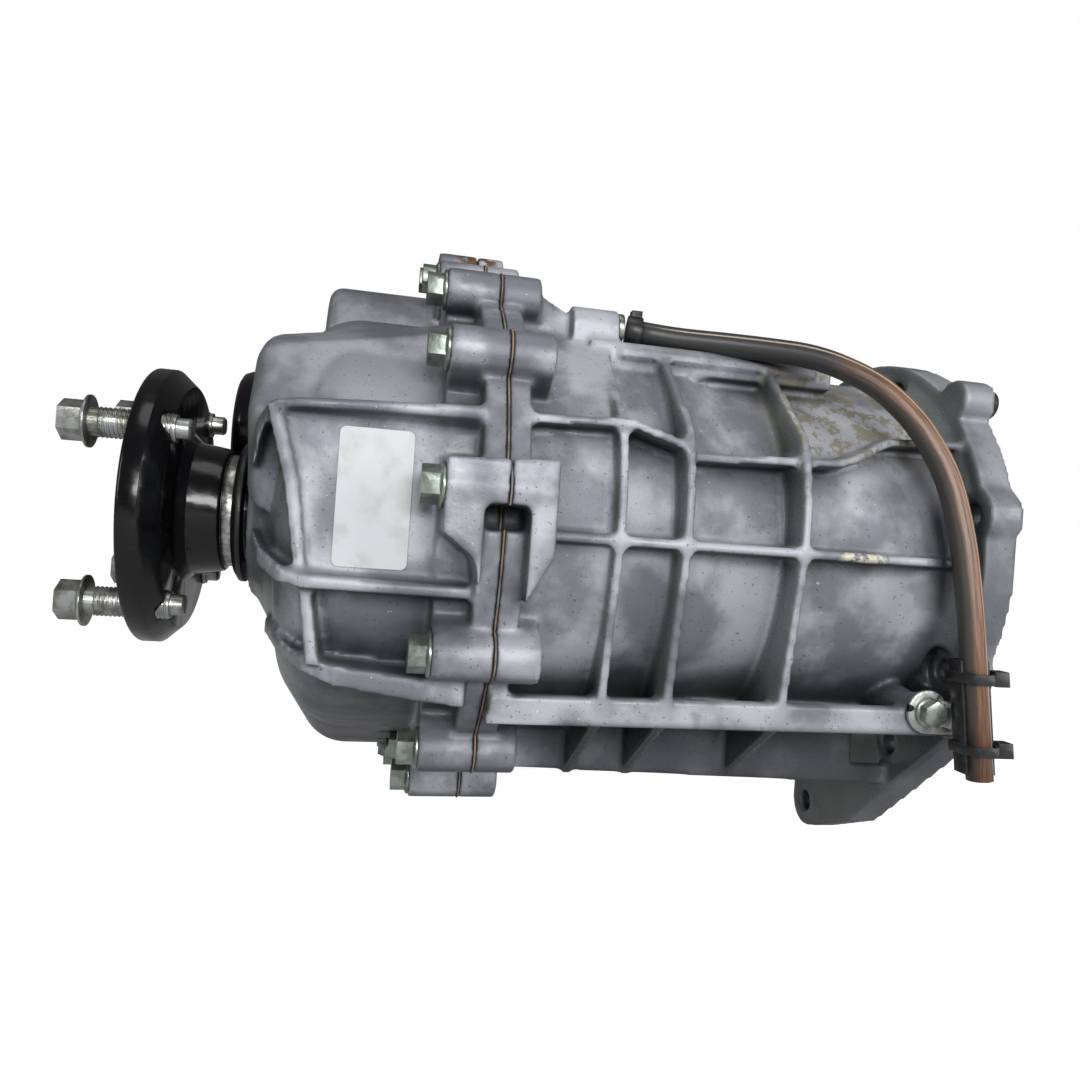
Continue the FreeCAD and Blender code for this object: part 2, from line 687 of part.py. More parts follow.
def gear_outline(teeth, y=0.0, z=0.0, turn=0.0, inside=False):
    """Straight-flank gear outline at the common module; inside gives a ring gear's hole."""
    pitch_r = gear_module * teeth / 2
    flank = math.tan(math.radians(20))
    addendum = 0.92 * gear_module
    dedendum = 1.25 * gear_module
    width = math.pi * gear_module / 2
    if inside:
        half = (width + tooth_backlash) / 2
        return tooth_outline(teeth, pitch_r - addendum, half + flank * addendum,
                             pitch_r + dedendum, half - flank * dedendum, turn, y, z)
    half = (width - tooth_backlash) / 2
    return tooth_outline(teeth, pitch_r - dedendum, half + flank * dedendum,
                         pitch_r + addendum, half - flank * addendum, turn, y, z)


planet_orbit_r = gear_module * (sun_teeth + planet_teeth) / 2


def planet_turn(number):
    """Turn of a planet that puts it in mesh with a sun tooth at angle zero."""
    place = 2 * math.pi * number / planet_count
    return place * (1 + sun_teeth / planet_teeth) + math.pi / planet_teeth


def planet_place(number):
    return polar(main_axis, planet_orbit_r, 360.0 * number / planet_count)


def make_planet(number):
    y, z = planet_place(number)
    wheel = prism_x(gear_outline(planet_teeth, y, z, planet_turn(number)), planet_x, planet_x + planet_w)
    return wheel.cut(rod(planet_x - 1, planet_x + planet_w + 1, planet_pin_r + run_gap, y, z))


def make_ring_gear():
    teeth = sun_teeth + 2 * planet_teeth
    turn = math.pi / teeth
    body = rod(planet_x - 1, planet_x + planet_w + 1, ring_gear_r)
    return body.cut(prism_x(gear_outline(teeth, turn=turn, inside=True), planet_x - 2, planet_x + planet_w + 2))


def make_carrier():
    back = carrier_back_x
    front = planet_x + planet_w + carrier_gap
    dogs = prism_x(spline_outline(dog_teeth, dog_root_r, dog_tip_r, dog_gap), back - 1, back + carrier_plate_t + 1)
    plates = [rod(back, back + carrier_plate_t, carrier_r).cut(dogs),
              ring(front, front + carrier_plate_t, carrier_r, input_shaft_r + run_gap)]
    for number in range(planet_count):
        post = block(back, front + carrier_plate_t, 51, 63, -11, 11)
        post.rotate(Vector(0, 0, 0), x_axis(), 360.0 * (number + 0.5) / planet_count)
        plates.append(post)
    body = fused(plates)
    return body.cut([rod(back - 1, front + carrier_plate_t + 1, planet_pin_r + run_gap, *planet_place(number))
                     for number in range(planet_count)])


def make_planet_pins():
    back = carrier_back_x
    front = planet_x + planet_w + carrier_gap + carrier_plate_t
    return Part.makeCompound([rod(back, front, planet_pin_r, *planet_place(number))
                              for number in range(planet_count)])


def sprocket(bore_r, y=0.0, z=0.0):
    """Toothed chain wheel with a hub left solid to its bore."""
    pitch = math.pi * (sprocket_tip_r + sprocket_root_r) / sprocket_teeth
    outline = tooth_outline(sprocket_teeth, sprocket_root_r, pitch * 0.36, sprocket_tip_r, pitch * 0.16, 0.0, y, z)
    wheel = prism_x(outline, sprocket_x, sprocket_x + sprocket_w)
    groove = ring(sprocket_x - 1, sprocket_x + 5, sprocket_root_r - 5, bore_r + 8, y, z)
    return wheel.cut([groove, rod(sprocket_x - 1, sprocket_x + sprocket_w + 1, bore_r, y, z)])


def make_chain():
    """Chain loop round both chain wheels, with grooves between its rows of plates."""
    x0 = sprocket_x + (sprocket_w - chain_w) / 2
    inner_r = sprocket_tip_r + free_gap
    outer_r = inner_r + chain_t
    loop = belt(x0, x0 + chain_w, main_axis, outer_r, front_axis, outer_r)
    rows = 4
    row = chain_w / rows
    tools = [belt(x0 - 1, x0 + chain_w + 1, main_axis, inner_r, front_axis, inner_r)]
    for number in range(1, rows):
        middle = x0 + row * number
        slot = belt(middle - 0.6, middle + 0.6, main_axis, outer_r + 1, front_axis, outer_r + 1)
        tools.append(slot.cut(belt(middle - 1, middle + 1, main_axis, outer_r - 1.5, front_axis, outer_r - 1.5)))
    return loop.cut(tools)


# ---- Shafts ---------------------------------------------------------------------------------
shaft_front_x = -176.0
shaft_step_x = -187.5
nut_seat_x = -353.0
nut_t = 14.0
nut_flats = 32.0
input_back_x = -197.0


def make_main_shaft():
    profile = [(nut_seat_x - nut_t - 1, 0), (nut_seat_x - nut_t - 1, shaft_thread_r - 1),
               (nut_seat_x - nut_t, shaft_thread_r), (nut_seat_x, shaft_thread_r), (nut_seat_x, shaft_spline_r),
               (rear_bearing_x - 0.5, shaft_spline_r), (rear_bearing_x - 0.5, shaft_r),
               (shaft_step_x, shaft_r), (shaft_step_x, shaft_pilot_r),
               (shaft_front_x, shaft_pilot_r), (shaft_front_x, 0)]
    return turned(profile)


def make_input_shaft():
    """Input shaft with the sun gear cut on its rear end."""
    front = planet_x + planet_w
    body = turned([(input_back_x, 0), (input_back_x, 30), (planet_x, 30), (planet_x, 36), (front, 36),
                   (front, input_shaft_r), (input_nose_x - 3, input_shaft_r), (input_nose_x, input_shaft_r - 3),
                   (input_nose_x, 0)])
    sun = prism_x(gear_outline(sun_teeth), planet_x, front)
    shaft = fused([body, sun])
    spline_pitch = 2 * math.pi * input_bore_r / 24
    spline = prism_x(tooth_outline(24, input_bore_r - 1.5, spline_pitch * 0.3, input_bore_r,
                                   spline_pitch * 0.2, 0.0), input_nose_x - input_bore_depth, input_nose_x - 11)
    mouth = rod(input_nose_x - 12, input_nose_x + 1, input_bore_mouth_r)
    pilot = rod(input_back_x - 1, shaft_front_x + 2, shaft_pilot_r + run_gap)
    socket = prism_x(spline_outline(nose_teeth, nose_root_r, nose_tip_r, dog_gap), input_back_x - 1, shaft_step_x + 0.5)
    return shaft.cut([spline, mouth, pilot, socket])


def output_bolt_place(number):
    return polar(main_axis, output_pcd / 2, 45 + output_bolt_turn + 90 * number)


def make_output_flange():
    """Companion flange: rim, coned back, tapered hub and the journal that the seal runs on."""
    rim_x = output_face_x + output_rim_t
    cone_x = output_face_x + output_flange_t
    profile = [(nut_seat_x, shaft_spline_r + run_gap), (nut_seat_x, 26), (output_face_x + pilot_depth, 26),
               (output_face_x + pilot_depth, pilot_r), (output_face_x, pilot_r),
               (output_face_x, output_flange_r - 1), (output_face_x + 1, output_flange_r),
               (rim_x, output_flange_r), (cone_x, output_flange_r - 7), (cone_x, output_hub_r + 4),
               (cone_x + 4, output_hub_r), (output_hub_end_x - 1, output_hub_r - 2),
               (output_hub_end_x, output_hub_r - 3), (output_hub_end_x, output_journal_r),
               (rear_bearing_x - 0.5, output_journal_r), (rear_bearing_x - 0.5, shaft_spline_r + run_gap)]
    flange = turned(profile)
    return flange.cut([rod(output_face_x - 1, cone_x + 1, output_bolt_r + run_gap, *output_bolt_place(number))
                       for number in range(4)])


def make_output_bolts():
    """Flange screws, run part way into their threads, each with a plain dog point."""
    screws = []
    for number in range(4):
        y, z = output_bolt_place(number)
        screw = flange_screw(output_bolt_seat_x, output_bolt_r, output_bolt_shank, 15.0, 11.0, 11.0, y, z)
        end = output_bolt_seat_x + output_bolt_shank
        screws.append(fused([screw, turned([(end - 1, 0), (end - 1, 4.6), (end + 5, 4.6), (end + 6, 3.8),
                                            (end + 6, 0)], y, z)]))
    return Part.makeCompound(screws)


def nut(x0, x1, collar_x, flats, bore_r, y=0.0, z=0.0):
    """Flanged nut between x0 and x1, with its collar starting at collar_x."""
    collar = rod(collar_x, collar_x + 3, flats / 2 + 3, y, z)
    return fused([collar, hexagon(flats, x0, x1, y, z)]).cut(rod(x0 - 1, x1 + 1, bore_r, y, z))


def make_front_shaft():
    back = pocket_bearing_x - 4
    seat = front_bearing_x + front_bearing_w
    end = front_flange_x + front_flange_t
    profile = [(back, 0), (back, front_shaft_r - 1), (back + 1, front_shaft_r), (seat, front_shaft_r),
               (seat, front_spline_r), (end - 2, front_spline_r), (end - 2, front_thread_r),
               (end + 13, front_thread_r), (end + 13, 0)]
    return turned(profile, front_y, front_z)


def make_front_flange():
    seat = front_bearing_x + front_bearing_w
    end = front_flange_x + front_flange_t
    bore = front_spline_r + run_gap
    profile = [(seat, bore), (seat, front_journal_r), (front_flange_x - 12, front_journal_r),
               (front_flange_x - 12, 28), (front_flange_x - 3, 28), (front_flange_x, 32),
               (front_flange_x, front_flange_r), (end, front_flange_r), (end, 26), (end - 2, 26), (end - 2, bore)]
    flange = turned(profile, front_y, front_z)
    return flange.cut([rod(front_flange_x - 1, end + 1, front_hole_r, *polar(front_axis, front_pcd / 2, 45 + 90 * i))
                       for i in range(4)])


# ---- Shift mechanism ------------------------------------------------------------------------
def make_range_hub():
    """Range collar: fork groove, neck, dog teeth for the carrier and a splined nose for the input."""
    neck_x = carrier_back_x + carrier_plate_t
    dog_x = neck_x + 1.5
    nose_x = dog_x + carrier_plate_t
    nose_end_x = nose_x + range_travel + 1
    neck = rod(range_hub_x + hub_w - 1, dog_x + 1, dog_root_r - 2)
    dogs = prism_x(spline_outline(dog_teeth, dog_root_r, dog_tip_r, 0.0), dog_x, nose_x)
    nose = prism_x(spline_outline(nose_teeth, nose_root_r, nose_tip_r, 0.0), nose_x - 1, nose_end_x)
    return fused([sliding_hub(range_hub_x), neck, dogs, nose]).cut(rod(range_hub_x, nose_end_x + 1, shaft_r + run_gap))


def sliding_hub(x0):
    """Grooved collar that slides on the main shaft."""
    middle = x0 + hub_w / 2
    half = fork_t / 2 + 0.3
    profile = [(x0, shaft_r + run_gap), (x0, hub_r), (middle - half, hub_r), (middle - half, hub_groove_r),
               (middle + half, hub_groove_r), (middle + half, hub_r), (x0 + hub_w, hub_r),
               (x0 + hub_w, shaft_r + run_gap)]
    return turned(profile)


def fork(hub_x, boss_front, follower):
    """Shift fork: arms round the hub groove, web and a boss on the rail."""
    back = hub_x + (hub_w - fork_t) / 2
    front = back + fork_t
    rail = (rail_y, rail_z)
    web = belt(back, front, (rail_y * 0.42, rail_z * 0.42), 13, rail, 12)
    yoke = rod(back, front, hub_r + 7)
    lean = math.degrees(math.atan2(rail_z, rail_y))
    away = block(back - 1, front + 1, -80, 4, -80, 80)
    away.rotate(Vector(0, 0, 0), x_axis(), lean)
    parts = [web, yoke.cut(away), rod(back - 6, front + boss_front, rail_r + 5, *rail)]
    if follower:
        reach = math.hypot(motor_y - rail_y, motor_z - rail_z) - cam_r - free_gap - 5
        share = reach / math.hypot(motor_y - rail_y, motor_z - rail_z)
        tip = (rail_y + (motor_y - rail_y) * share, rail_z + (motor_z - rail_z) * share)
        parts.append(belt(back, front, rail, 9, tip, 5))
    whole = fused(parts)
    return whole.cut([rod(back - 10, front + 10, hub_groove_r + free_gap),
                      rod(back - 10, front + 10, rail_r + run_gap, *rail)])


def make_cam():
    """Shift cam: a drum with a ramp on its face, driven by the motor's square."""
    drum_x = mode_hub_x - 12
    shaft = rod(motor_base_x + 1, drum_x + 1, cam_shaft_r, motor_y, motor_z)
    drum = rod(drum_x, cam_front_x, cam_r, motor_y, motor_z)
    ramp = prism_y([(cam_front_x + 1, motor_z - 20), (cam_front_x + 1, motor_z + 20), (cam_front_x - 7, motor_z + 20)],
                   motor_y - 20, motor_y + 20)
    return fused([shaft, drum]).cut(ramp)


def make_motor():
    """Round shift motor on its plate, with the plug socket of its wiring."""
    case_x = motor_base_x - motor_plate_t
    can = turned([(motor_back_x, 0), (motor_back_x, motor_r - 4), (motor_back_x + 1.5, motor_r - 1.5),
                  (motor_back_x + 5, motor_r), (case_x - 4, motor_r), (case_x - 4, motor_r + 1.5),
                  (case_x + 1, motor_r + 1.5), (case_x + 1, 0)], motor_y, motor_z)
    parts = [can] + [belt(case_x, motor_base_x, (motor_y, motor_z), motor_r - 2, place, 8)
                     for place in motor_bolt_places]
    socket = block(motor_back_x + 6, motor_back_x + 24, motor_y + motor_r - 6, motor_y + motor_r + 16,
                   motor_z - 3, motor_z + 13)
    hollow = block(motor_back_x + 8, motor_back_x + 22, motor_y + motor_r + 4, motor_y + motor_r + 17,
                   motor_z - 1, motor_z + 11)
    body = fused(parts + [socket])
    return body.cut([hollow] + [rod(case_x - 1, motor_base_x + 1, 3.3, *place) for place in motor_bolt_places])


def make_motor_bolts():
    seat = motor_base_x - motor_plate_t
    return Part.makeCompound([flange_screw(seat, 3.0, 18, 10.0, 6.5, 6.5, y, z) for y, z in motor_bolt_places])


def make_oil_pump():
    """Pump ring round the main shaft, with its pickup port."""
    body = ring(pump_x, pump_x + pump_w, pump_r, shaft_r + free_gap)
    return body.cut(rod(pump_x - 1, pump_x + pump_w - 4, 5, 0, -34))


def make_tone_ring():
    x0 = pump_x + pump_w + 1.5
    outline = tooth_outline(24, 30, 2.6, 33, 2.0, 0.0)
    return prism_x(outline, x0, x0 + 5).cut(rod(x0 - 1, x0 + 6, shaft_r + run_gap))


# ---- Vent hose and what holds it ------------------------------------------------------------
hose_r = 5.4
hose_points = [(vent_x + 4.8, vent_y, vent_z), (-145, vent_y - 4, vent_z - 2.5), (-112, -60, vent_z - 4.5),
               (-84, -73, 87.5), (-62, -85, 76), (-46, -93.5, 59), (-33.5, -99.5, 36), (-27.5, -104, 8),
               (-24, -107.5, -24), (-17, -110.5, -92)]


def cord_path(points):
    """Straight runs joined by tangent arcs, each as large as its two runs allow."""
    places = [Vector(*point) for point in points]
    edges = []
    start = places[0]
    for before, corner, after in zip(places, places[1:], places[2:]):
        back = before - corner
        ahead = after - corner
        trim = 0.45 * min(back.Length, ahead.Length)
        turn = math.pi - back.getAngle(ahead)
        radius = trim / math.tan(turn / 2)
        back.normalize()
        ahead.normalize()
        enter = corner + back * trim
        leave = corner + ahead * trim
        inward = back + ahead
        inward.normalize()
        middle = corner + inward * (radius / math.cos(turn / 2) - radius)
        print("hose bend radius", round(radius, 1), "turn", round(math.degrees(turn), 1))
        edges.append(Part.LineSegment(start, enter).toShape())
        edges.append(Part.Arc(enter, middle, leave).toShape())
        start = leave
    edges.append(Part.LineSegment(start, places[-1]).toShape())
    return Part.Wire(edges)


def make_hose():
    path = cord_path(hose_points)
    direction = Vector(*hose_points[1]) - Vector(*hose_points[0])
    section = Part.Wire(Part.makeCircle(hose_r, Vector(*hose_points[0]), direction))
    tube = path.makePipeShell([section], True, True)
    print("hose volume against section times length", round(tube.Volume / (math.pi * hose_r ** 2 * path.Length), 4))
    return tube


def hose_frame():
    """Start and direction of the hose's lower straight, where the channel holds it."""
    low = Vector(*hose_points[-1])
    high = Vector(*hose_points[-2])
    return high, low - high


def along_hose(points, from_z, to_z):
    """Polygon of (x, y) points about the hose's centre, carried down its lower straight."""
    high, run = hose_frame()
    start = high + run * ((from_z - high.z) / run.z)
    end = high + run * ((to_z - high.z) / run.z)
    corners = [start + Vector(x, y, 0) for x, y in points]
    return Part.Face(Part.makePolygon(corners + corners[:1])).extrude(end - start)


channel_half = hose_r + 1.5
channel_t = 1.2


def make_channel():
    inner = channel_half - channel_t
    outline = [(-channel_half, -1), (-channel_half, channel_half), (channel_half, channel_half), (channel_half, -1),
               (inner, -1), (inner, inner), (-inner, inner), (-inner, -1)]
    return along_hose(outline, -42, -90)


def tie_outline(grow):
    side = channel_half + 0.1 + grow
    front = -hose_r - 0.3 - grow
    return [(-side, side), (-side, -1.5), (-4 - grow * 0.4, front), (4 + grow * 0.4, front), (side, -1.5), (side, side)]


def make_ties():
    """Two cable ties round hose and channel, each with its head on the front side."""
    ties = []
    for z in (-47, -77):
        band = along_hose(tie_outline(1.3), z, z - 4.5).cut(along_hose(tie_outline(0.0), z + 1, z - 6))
        head = along_hose([(channel_half + 1, -3), (channel_half + 8, -3), (channel_half + 8, 3),
                           (channel_half + 1, 3)], z + 1, z - 5.5)
        ties.append(fused([band, head]))
    return Part.makeCompound(ties)


bracket_t = 2.0
bracket_face_y = -94.0


def make_bracket():
    """Tab under the screw, with a slot and a stand-off that carries the channel."""
    outer = bracket_face_y - bracket_t
    left = Part.makeCylinder(9.5, bracket_t, Vector(bracket_x, outer, bracket_z), Vector(0, 1, 0))
    arm = block(bracket_x, -11, outer, bracket_face_y, bracket_z - 9.5, bracket_z + 5)
    stand = block(-26, -11, bracket_face_y - 8.1, bracket_face_y, bracket_z - 6, bracket_z + 5)
    plate = fused([left, arm, stand])
    hole = Part.makeCylinder(3.2, 10, Vector(bracket_x, outer - 4, bracket_z), Vector(0, 1, 0))
    return plate.cut(hole)


def make_bracket_screw():
    screw = flange_screw(0, 3.0, 14, 10.0, 6.0, 6.5)
    return toward_near_side(screw, bracket_x, bracket_z, bracket_face_y - bracket_t)


def make_vent_fitting():
    profile = [(vent_x - 11, 0), (vent_x - 11, 4.5), (vent_x, 4.5), (vent_x, 7), (vent_x + 2.5, 7),
               (vent_x + 3, 5), (vent_x + 3, 0)]
    return turned(profile, vent_y, vent_z)


def make_hose_clamp():
    start = Vector(*hose_points[0])
    direction = Vector(*hose_points[1]) - start
    direction.normalize()
    band = Part.makeCylinder(hose_r + 1.5, 7, start, direction)
    ear = Part.makeBox(5, 4, 4, start + direction * 2 + Vector(0, -2, hose_r))
    bore = Part.makeCylinder(hose_r + run_gap, 10, start - direction, direction)
    return fused([band, ear]).cut(bore)


# ---- Plate, plugs and label -----------------------------------------------------------------
label_w = 28.0
label_h = 53.0
label_x = -290.0
label_z = -19.0
label_t = 0.3
pump_x = -299.0
pump_w = 12.0
pump_r = 44.0


def make_label():
    sheet = block(label_x, label_x + label_w, panel_y - label_t, panel_y, label_z, label_z + label_h)
    corners = [edge for edge in sheet.Edges if abs(edge.Length - label_t) < 0.01]
    return sheet.makeFillet(2.5, corners)


def make_plate_plug():
    profile = [(-7.5, 0), (-7.5, 4.9), (0, 4.9), (0, 7.5), (4, 6.5), (5, 5), (5, 0)]
    return turned(profile, plug_place[0], plug_place[1])


def build_parts():
    """Every piece of the transfer case, by node name."""
    front_nut_x = front_flange_x + front_flange_t - 2
    pieces = {
        "rear_case": make_rear_case(),
        "front_case": make_front_case(),
        "case_sealant": make_sealant(),
        "case_bolts": make_case_bolts(),
        "case_dowels": make_dowels(),
        "fill_plug": make_plug(plug_seat_x, *fill_place),
        "drain_plug": make_drain_plug(),
        "part_label": make_label(),
        "plate_plug": make_plate_plug(),
        "vent_fitting": make_vent_fitting(),
        "vent_hose": make_hose(),
        "hose_clamp": make_hose_clamp(),
        "hose_channel": make_channel(),
        "hose_ties": make_ties(),
        "hose_bracket": make_bracket(),
        "hose_bracket_screw": make_bracket_screw(),
        "main_shaft": make_main_shaft(),
        "rear_output_flange": make_output_flange(),
        "rear_flange_nut": nut(nut_seat_x - nut_t, nut_seat_x, nut_seat_x - 3, nut_flats,
                               shaft_thread_r + run_gap),
        "flange_bolts": make_output_bolts(),
        "spacer_ring": ring(output_hub_end_x, output_hub_end_x + spacer_ring_t, spacer_ring_r,
                            output_journal_r + run_gap),
        "dust_ring": turned([(output_hub_end_x + spacer_ring_t, output_journal_r + run_gap),
                             (output_hub_end_x + spacer_ring_t, dust_ring_r - 3),
                             (output_hub_end_x + spacer_ring_t + 2, dust_ring_r),
                             (output_hub_end_x + spacer_ring_t + dust_ring_t, dust_ring_r),
                             (output_hub_end_x + spacer_ring_t + dust_ring_t, output_journal_r + run_gap)]),
        "rear_seal": lip_seal(rear_bearing_x - 9.5, rear_seal_w, output_journal_r + run_gap, rear_seal_r),
        "rear_bearing": ball_bearing(rear_bearing_x, rear_bearing_w, shaft_r + run_gap, rear_bearing_r),
        "oil_pump": make_oil_pump(),
        "tone_ring": make_tone_ring(),
        "drive_sprocket": sprocket(shaft_r + run_gap),
        "driven_sprocket": sprocket(front_shaft_r + run_gap, front_y, front_z),
        "drive_chain": make_chain(),
        "mode_collar": sliding_hub(mode_hub_x),
        "range_hub": make_range_hub(),
        "mode_fork": fork(mode_hub_x, 0.0, True),
        "range_fork": fork(range_hub_x, 8.0, False),
        "shift_rail": rod(rail_back_x, rail_front_x, rail_r, rail_y, rail_z),
        "shift_cam": make_cam(),
        "shift_motor": make_motor(),
        "shift_motor_bolts": make_motor_bolts(),
        "input_shaft": make_input_shaft(),
        "input_bearing": ball_bearing(input_bearing_x, input_bearing_w, input_shaft_r + run_gap, input_bearing_r),
        "input_seal": lip_seal(input_bearing_x + input_bearing_w + 3, input_seal_w, input_shaft_r + run_gap,
                               input_seal_r),
        "ring_gear": make_ring_gear(),
        "planet_carrier": make_carrier(),
        "planet_pins": make_planet_pins(),
        "front_output_shaft": make_front_shaft(),
        "pocket_bearing": ball_bearing(pocket_bearing_x, pocket_bearing_w, front_shaft_r + run_gap,
                                       pocket_bearing_r, front_y, front_z),
        "front_bearing": ball_bearing(front_bearing_x, front_bearing_w, front_shaft_r + run_gap, front_bearing_r,
                                      front_y, front_z),
        "front_seal": lip_seal(front_bearing_x + front_bearing_w + 2, front_seal_w, front_journal_r + run_gap,
                               front_seal_r, front_y, front_z),
        "front_output_flange": make_front_flange(),
        "front_flange_nut": nut(front_nut_x, front_nut_x + 12, front_nut_x, 27.0, front_thread_r + run_gap,
                                front_y, front_z),
    }
    for number in range(planet_count):
        pieces["planet_gear_%d" % (number + 1)] = make_planet(number)
    return pieces


def export(name, shape):
    if shape.ShapeType == "Compound" and len(shape.Solids) == 1:
        shape = shape.Solids[0]
    print(name, len(shape.Solids), shape.isValid(), round(shape.Volume))
    shape.exportStep("parts/" + name + ".step")


os.makedirs("parts", exist_ok=True)
for node, solid in build_parts().items():
    export(node, solid)
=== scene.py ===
import math

import bmesh
import bpy
from mathutils import Matrix, Vector


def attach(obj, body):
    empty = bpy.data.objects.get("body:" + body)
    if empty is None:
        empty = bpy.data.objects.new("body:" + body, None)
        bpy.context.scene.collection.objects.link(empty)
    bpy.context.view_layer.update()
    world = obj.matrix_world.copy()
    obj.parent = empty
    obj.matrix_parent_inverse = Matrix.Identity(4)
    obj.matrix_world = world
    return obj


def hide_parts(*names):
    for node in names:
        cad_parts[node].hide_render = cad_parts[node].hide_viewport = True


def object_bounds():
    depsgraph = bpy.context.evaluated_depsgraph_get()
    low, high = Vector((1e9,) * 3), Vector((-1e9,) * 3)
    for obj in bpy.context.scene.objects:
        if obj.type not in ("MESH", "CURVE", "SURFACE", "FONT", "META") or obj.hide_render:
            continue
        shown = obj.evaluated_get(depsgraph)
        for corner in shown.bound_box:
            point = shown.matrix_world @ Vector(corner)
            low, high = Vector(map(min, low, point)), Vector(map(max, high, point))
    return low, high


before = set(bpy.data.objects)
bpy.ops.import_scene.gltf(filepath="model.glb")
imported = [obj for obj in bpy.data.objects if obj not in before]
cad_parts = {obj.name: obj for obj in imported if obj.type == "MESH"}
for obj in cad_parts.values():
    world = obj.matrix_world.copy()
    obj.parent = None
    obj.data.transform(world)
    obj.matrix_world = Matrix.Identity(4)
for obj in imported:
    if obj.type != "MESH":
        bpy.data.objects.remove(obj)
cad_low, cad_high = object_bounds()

for leftover in bpy.context.selected_objects:
    leftover.select_set(False)

# ---- Camera ---------------------------------------------------------------------------------
# A 28 mm lens held close to the near side of the case, level with the shafts and turned a
# little towards the transmission end. It is tilted by four degrees about its own axis.
camera = bpy.data.objects.new("camera", bpy.data.cameras.new("camera"))
camera.data.lens = 28.03
camera.data.sensor_width = 36.0
camera.data.clip_start = 0.02
camera.data.clip_end = 60.0
camera.matrix_world = (
    Matrix.Translation((-0.274, -0.423, -0.0038))
    @ Matrix.Rotation(math.radians(-11.0), 4, "Z")
    @ Matrix.Rotation(math.radians(90.0), 4, "X")
    @ Matrix.Rotation(math.radians(4.0), 4, "Z")
)
bpy.context.scene.collection.objects.link(camera)
bpy.context.scene.camera = camera
bpy.context.scene.view_settings.view_transform = "Standard"


# ---- Floor and light ------------------------------------------------------------------------
# A white floor under the lowest lug, and the light of a small studio: a large lamp above and
# in front, a tall one on each side, and little from below. Floor and backdrop look white.
def node(tree, kind, inputs=None, **settings):
    """Adds a shader node. Inputs are values or the sockets that feed them."""
    made = tree.nodes.new(kind)
    for name, value in settings.items():
        setattr(made, name, value)
    for name, value in (inputs or {}).items():
        if isinstance(value, bpy.types.NodeSocket):
            tree.links.new(value, made.inputs[name])
        else:
            made.inputs[name].default_value = value
    return made


def maths(tree, operation, *values):
    return node(tree, "ShaderNodeMath", dict(enumerate(values)), operation=operation).outputs[0]


def between(tree, value, low, high):
    """0 at low and 1 at high, with a smooth change from one to the other."""
    return node(tree, "ShaderNodeMapRange", {"Value": value, "From Min": low, "From Max": high},
                interpolation_type="SMOOTHSTEP").outputs["Result"]


world = bpy.data.worlds.new("studio")
world.use_nodes = True
bpy.context.scene.world = world
tree = world.node_tree
sky = tree.nodes["Background"]
sky.inputs["Color"].default_value = (1.0, 1.0, 1.0, 1.0)
path = node(tree, "ShaderNodeLightPath")
aim = node(tree, "ShaderNodeSeparateXYZ", {"Vector": node(tree, "ShaderNodeTexCoord").outputs["Generated"]})
lit = maths(tree, "MULTIPLY_ADD", between(tree, aim.outputs["Z"], -0.35, 0.75), 0.11, 0.035)
seen = maths(tree, "MAXIMUM", path.outputs["Is Camera Ray"], path.outputs["Is Transmission Ray"])
strength = node(tree, "ShaderNodeMix", {"Factor": seen, 2: lit, 3: 1.0}).outputs[0]
tree.links.new(strength, sky.inputs["Strength"])

bpy.ops.mesh.primitive_plane_add(size=12.0, location=(-0.2, 0.0, cad_low.z - 0.001))
floor = bpy.context.object
floor.name = "floor"
floor_paint = bpy.data.materials.new("floor_paint")
floor_paint.use_nodes = True
tree = floor_paint.node_tree
matt = tree.nodes["Principled BSDF"]
matt.inputs["Base Color"].default_value = (0.30, 0.30, 0.30, 1.0)
matt.inputs["Roughness"].default_value = 0.9
path = node(tree, "ShaderNodeLightPath")
looks = node(tree, "ShaderNodeEmission", {"Color": (1.0, 1.0, 1.0, 1.0), "Strength": maths(
    tree, "MULTIPLY_ADD", path.outputs["Is Camera Ray"], 0.66, 0.30)})
share = maths(tree, "MAXIMUM", path.outputs["Is Camera Ray"], path.outputs["Is Glossy Ray"])
both = node(tree, "ShaderNodeAddShader", {0: matt.outputs[0], 1: looks.outputs[0]})
mix = node(tree, "ShaderNodeMixShader", {"Fac": share, 1: matt.outputs[0], 2: both.outputs[0]})
tree.links.new(mix.outputs[0], tree.nodes["Material Output"].inputs["Surface"])
floor.data.materials.append(floor_paint)


def lamp(name, place, target, width, height, watts):
    light = bpy.data.lights.new(name, "AREA")
    light.shape = "RECTANGLE"
    light.size = width
    light.size_y = height
    light.energy = watts
    made = bpy.data.objects.new(name, light)
    made.location = place
    made.rotation_euler = (Vector(target) - Vector(place)).to_track_quat("-Z", "Y").to_euler()
    bpy.context.scene.collection.objects.link(made)


middle = (-0.22, 0.0, 0.0)
lamp("front_box", (-0.10, -1.30, 0.34), middle, 0.8, 0.35, 13.5)
lamp("overhead", (-0.25, -0.30, 1.2), middle, 0.9, 0.5, 2.6)
lamp("left_box", (-1.2, -0.7, 0.30), middle, 0.25, 0.5, 3.0)
lamp("right_box", (0.8, -0.8, 0.35), middle, 0.3, 0.6, 5.0)


# ---- Cast case halves -----------------------------------------------------------------------
# Pressure die-cast aluminium, the same metal and skin on both halves. Every inside corner has
# a small fillet and every rib a rounded edge. The skin has gone dull, is pitted and speckled,
# and keeps an oily film in patches. Walls that face sideways carry a painted greenish sheen, and
# painted shade darkens crevices, downward faces, the tops of the rear half and under the shelf.
def object_coordinates(tree):
    return node(tree, "ShaderNodeTexCoord").outputs["Object"]


def noise(tree, vector, scale, detail=3.0, rough=0.55):
    return node(tree, "ShaderNodeTexNoise", {"Vector": vector, "Scale": scale, "Detail": detail,
                                             "Roughness": rough}).outputs["Fac"]


